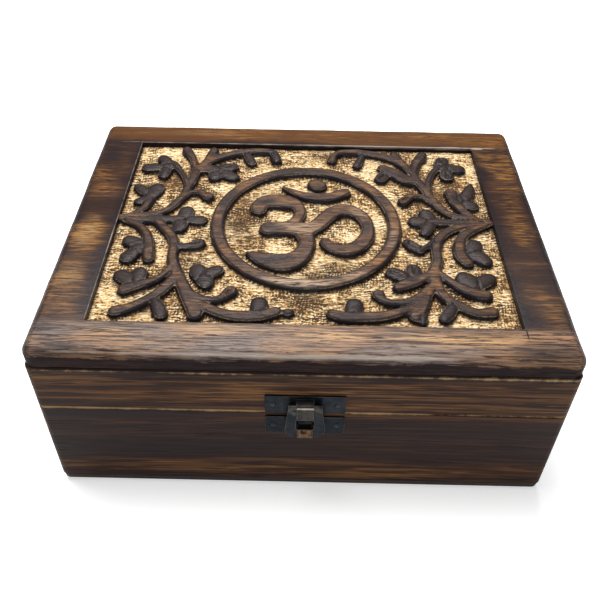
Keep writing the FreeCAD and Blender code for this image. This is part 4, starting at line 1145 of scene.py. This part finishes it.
def make_lights():
    """Soft boxes behind and overhead, a fill from the front and an even white surround."""
    world = bpy.data.worlds.new("studio")
    bpy.context.scene.world = world
    world.use_nodes = True
    path = add(world.node_tree, "ShaderNodeLightPath")
    seen = most(path["Is Camera Ray"], path["Is Transmission Ray"])
    put_all(world.node_tree.nodes["Background"].inputs, {
        "Color": (1, 1, 1, 1), "Strength": ramp(seen, 0.0, 1.0, 0.22, 1.0)})
    target = Vector((0, 0, 0.05))
    for name, power, size, place in (
        ("back_key", 5.0, 0.40, (0.02, 0.46, 0.80)),
        ("overhead", 10.0, 0.45, (-0.20, 0.12, 0.95)),
        ("front_fill", 2.4, 0.6, (0.15, -0.95, 0.45)),
    ):
        light = bpy.data.lights.new(name, "AREA")
        light.energy = power
        light.size = size
        lamp = bpy.data.objects.new(name, light)
        lamp.location = place
        lamp.rotation_euler = (target - Vector(place)).to_track_quat("-Z", "Y").to_euler()
        bpy.context.scene.collection.objects.link(lamp)


def make_camera():
    """Camera at the photograph's height, tilt and lens."""
    camera = bpy.data.cameras.new("camera")
    camera.sensor_width = 36
    camera.lens = 42.97
    camera.shift_y = -0.1
    view = bpy.data.objects.new("camera", camera)
    turn = Matrix.Rotation(math.radians(0.235), 3, "Z") @ Matrix.Rotation(math.radians(49.259), 3, "X")
    turn = turn @ Matrix.Rotation(math.radians(1.006), 3, "Z")
    view.rotation_euler = turn.to_euler()
    view.location = (-1.45 * MM, -239.91 * MM, 279.28 * MM)
    bpy.context.scene.collection.objects.link(view)
    bpy.context.scene.camera = view


# Operators

class BOX_OT_walls(bpy.types.Operator):
    """Finish the walls of the base and of the lid, and the bottom board"""
    bl_idname = "box.walls"
    bl_label = "Walls"

    def execute(self, context):
        for part, shift, amber, scorch in (("base", (.11, .05, .02), 0.75, 0.58),
                                           ("lid_rim", (.43, .31, .27), 0.80, 0.50)):
            long = wall_wood(part + "_wood", shift, amber, scorch)
            short = wall_wood(part + "_end_wood", shift, amber, scorch, turn=math.pi / 2)
            for side, wood in (("front", long), ("back", long), ("left", short), ("right", short)):
                set_material(part + "_" + side, wood)
        set_material("base_bottom", foot_wood())
        return {"FINISHED"}


class BOX_OT_lid_board(bpy.types.Operator):
    """Model the lid board's margins and its carved field"""
    bl_idname = "box.lid_board"
    bl_label = "Lid board"

    def execute(self, context):
        weighted(finish_piece("lid_board_margins", margin_mesh(), board_wood(), "lid", ["lid_board"]))
        finish_piece("lid_board_carving", carving_mesh(), carving_wood(), "lid",
                     ["lid_board"], sharp=42)
        return {"FINISHED"}


class BOX_OT_latch(bpy.types.Operator):
    """Model the latch with rounded, rubbed edges"""
    bl_idname = "box.latch"
    bl_label = "Latch"

    def execute(self, context):
        plate = worn_metal("latch_slate", "plate", 0.62, 0.42)
        upper = worn_metal("strap_slate", "slate", 0.66, 0.42, strap=True)
        flap = worn_metal("flap_slate", "slate", 0.78, 0.42, lip=True)
        head = worn_metal("nail_slate", "nail", 0.7, 0.35)
        softened_copy("latch_upper_plate", upper, "lid")
        softened_copy("latch_flap", flap, "flap")
        softened_copy("latch_lower_plate", plate, "base")
        for node in ("latch_upper_nails", "latch_lower_nails"):
            set_material(node, head)
        set_material("latch_catch", worn_metal("catch_steel", "catch", 0.5, 0.45))
        return {"FINISHED"}


class BOX_OT_hinges(bpy.types.Operator):
    """Finish the hinges, their screws and the brads under the box"""
    bl_idname = "box.hinges"
    bl_label = "Hinges and fasteners"

    def execute(self, context):
        leaf = worn_metal("hinge_slate", "slate", 0.7, 0.42)
        steel = worn_metal("dull_steel", "steel", 0.6, 0.40, bare="glint")
        for side in ("left", "right"):
            for body in ("base", "lid"):
                softened_copy("hinge_" + side + "_" + body + "_leaf", leaf, body)
            set_material("hinge_" + side + "_pin", steel)
        for node in ("hinge_base_screws", "hinge_lid_screws", "bottom_brads"):
            set_material(node, steel)
        return {"FINISHED"}


class BOX_OT_stage(bpy.types.Operator):
    """Set up the floor, the soft lights and the camera"""
    bl_idname = "box.stage"
    bl_label = "Stage"

    def execute(self, context):
        make_floor()
        make_lights()
        make_camera()
        context.scene.view_settings.view_transform = "Standard"
        return {"FINISHED"}


class BOX_PT_panel(bpy.types.Panel):
    """Steps that build the box's looks"""
    bl_idname = "BOX_PT_panel"
    bl_label = "Carved keepsake box"
    bl_space_type = "VIEW_3D"
    bl_region_type = "UI"
    bl_category = "Box"

    def draw(self, context):
        for step in STEPS:
            self.layout.operator(step.bl_idname)
        for settings in (context.scene.box_sizes, context.scene.box_colours):
            for name in settings.__annotations__:
                self.layout.prop(settings, name)


STEPS = (BOX_OT_walls, BOX_OT_lid_board, BOX_OT_latch, BOX_OT_hinges, BOX_OT_stage)
CLASSES = (BoxSizes, BoxColours) + STEPS + (BOX_PT_panel,)


def register():
    """Registers the classes and the scene's settings."""
    for entry in CLASSES:
        bpy.utils.register_class(entry)
    bpy.types.Scene.box_sizes = PointerProperty(type=BoxSizes)
    bpy.types.Scene.box_colours = PointerProperty(type=BoxColours)


def unregister():
    """Takes the classes and settings away again."""
    del bpy.types.Scene.box_colours
    del bpy.types.Scene.box_sizes
    for entry in reversed(CLASSES):
        bpy.utils.unregister_class(entry)


def main():
    """Builds every piece."""
    register()
    bpy.ops.box.walls()
    bpy.ops.box.lid_board()
    bpy.ops.box.latch()
    bpy.ops.box.hinges()
    bpy.ops.box.stage()
    bpy.context.view_layer.update()


if __name__ == "__main__":
    main()
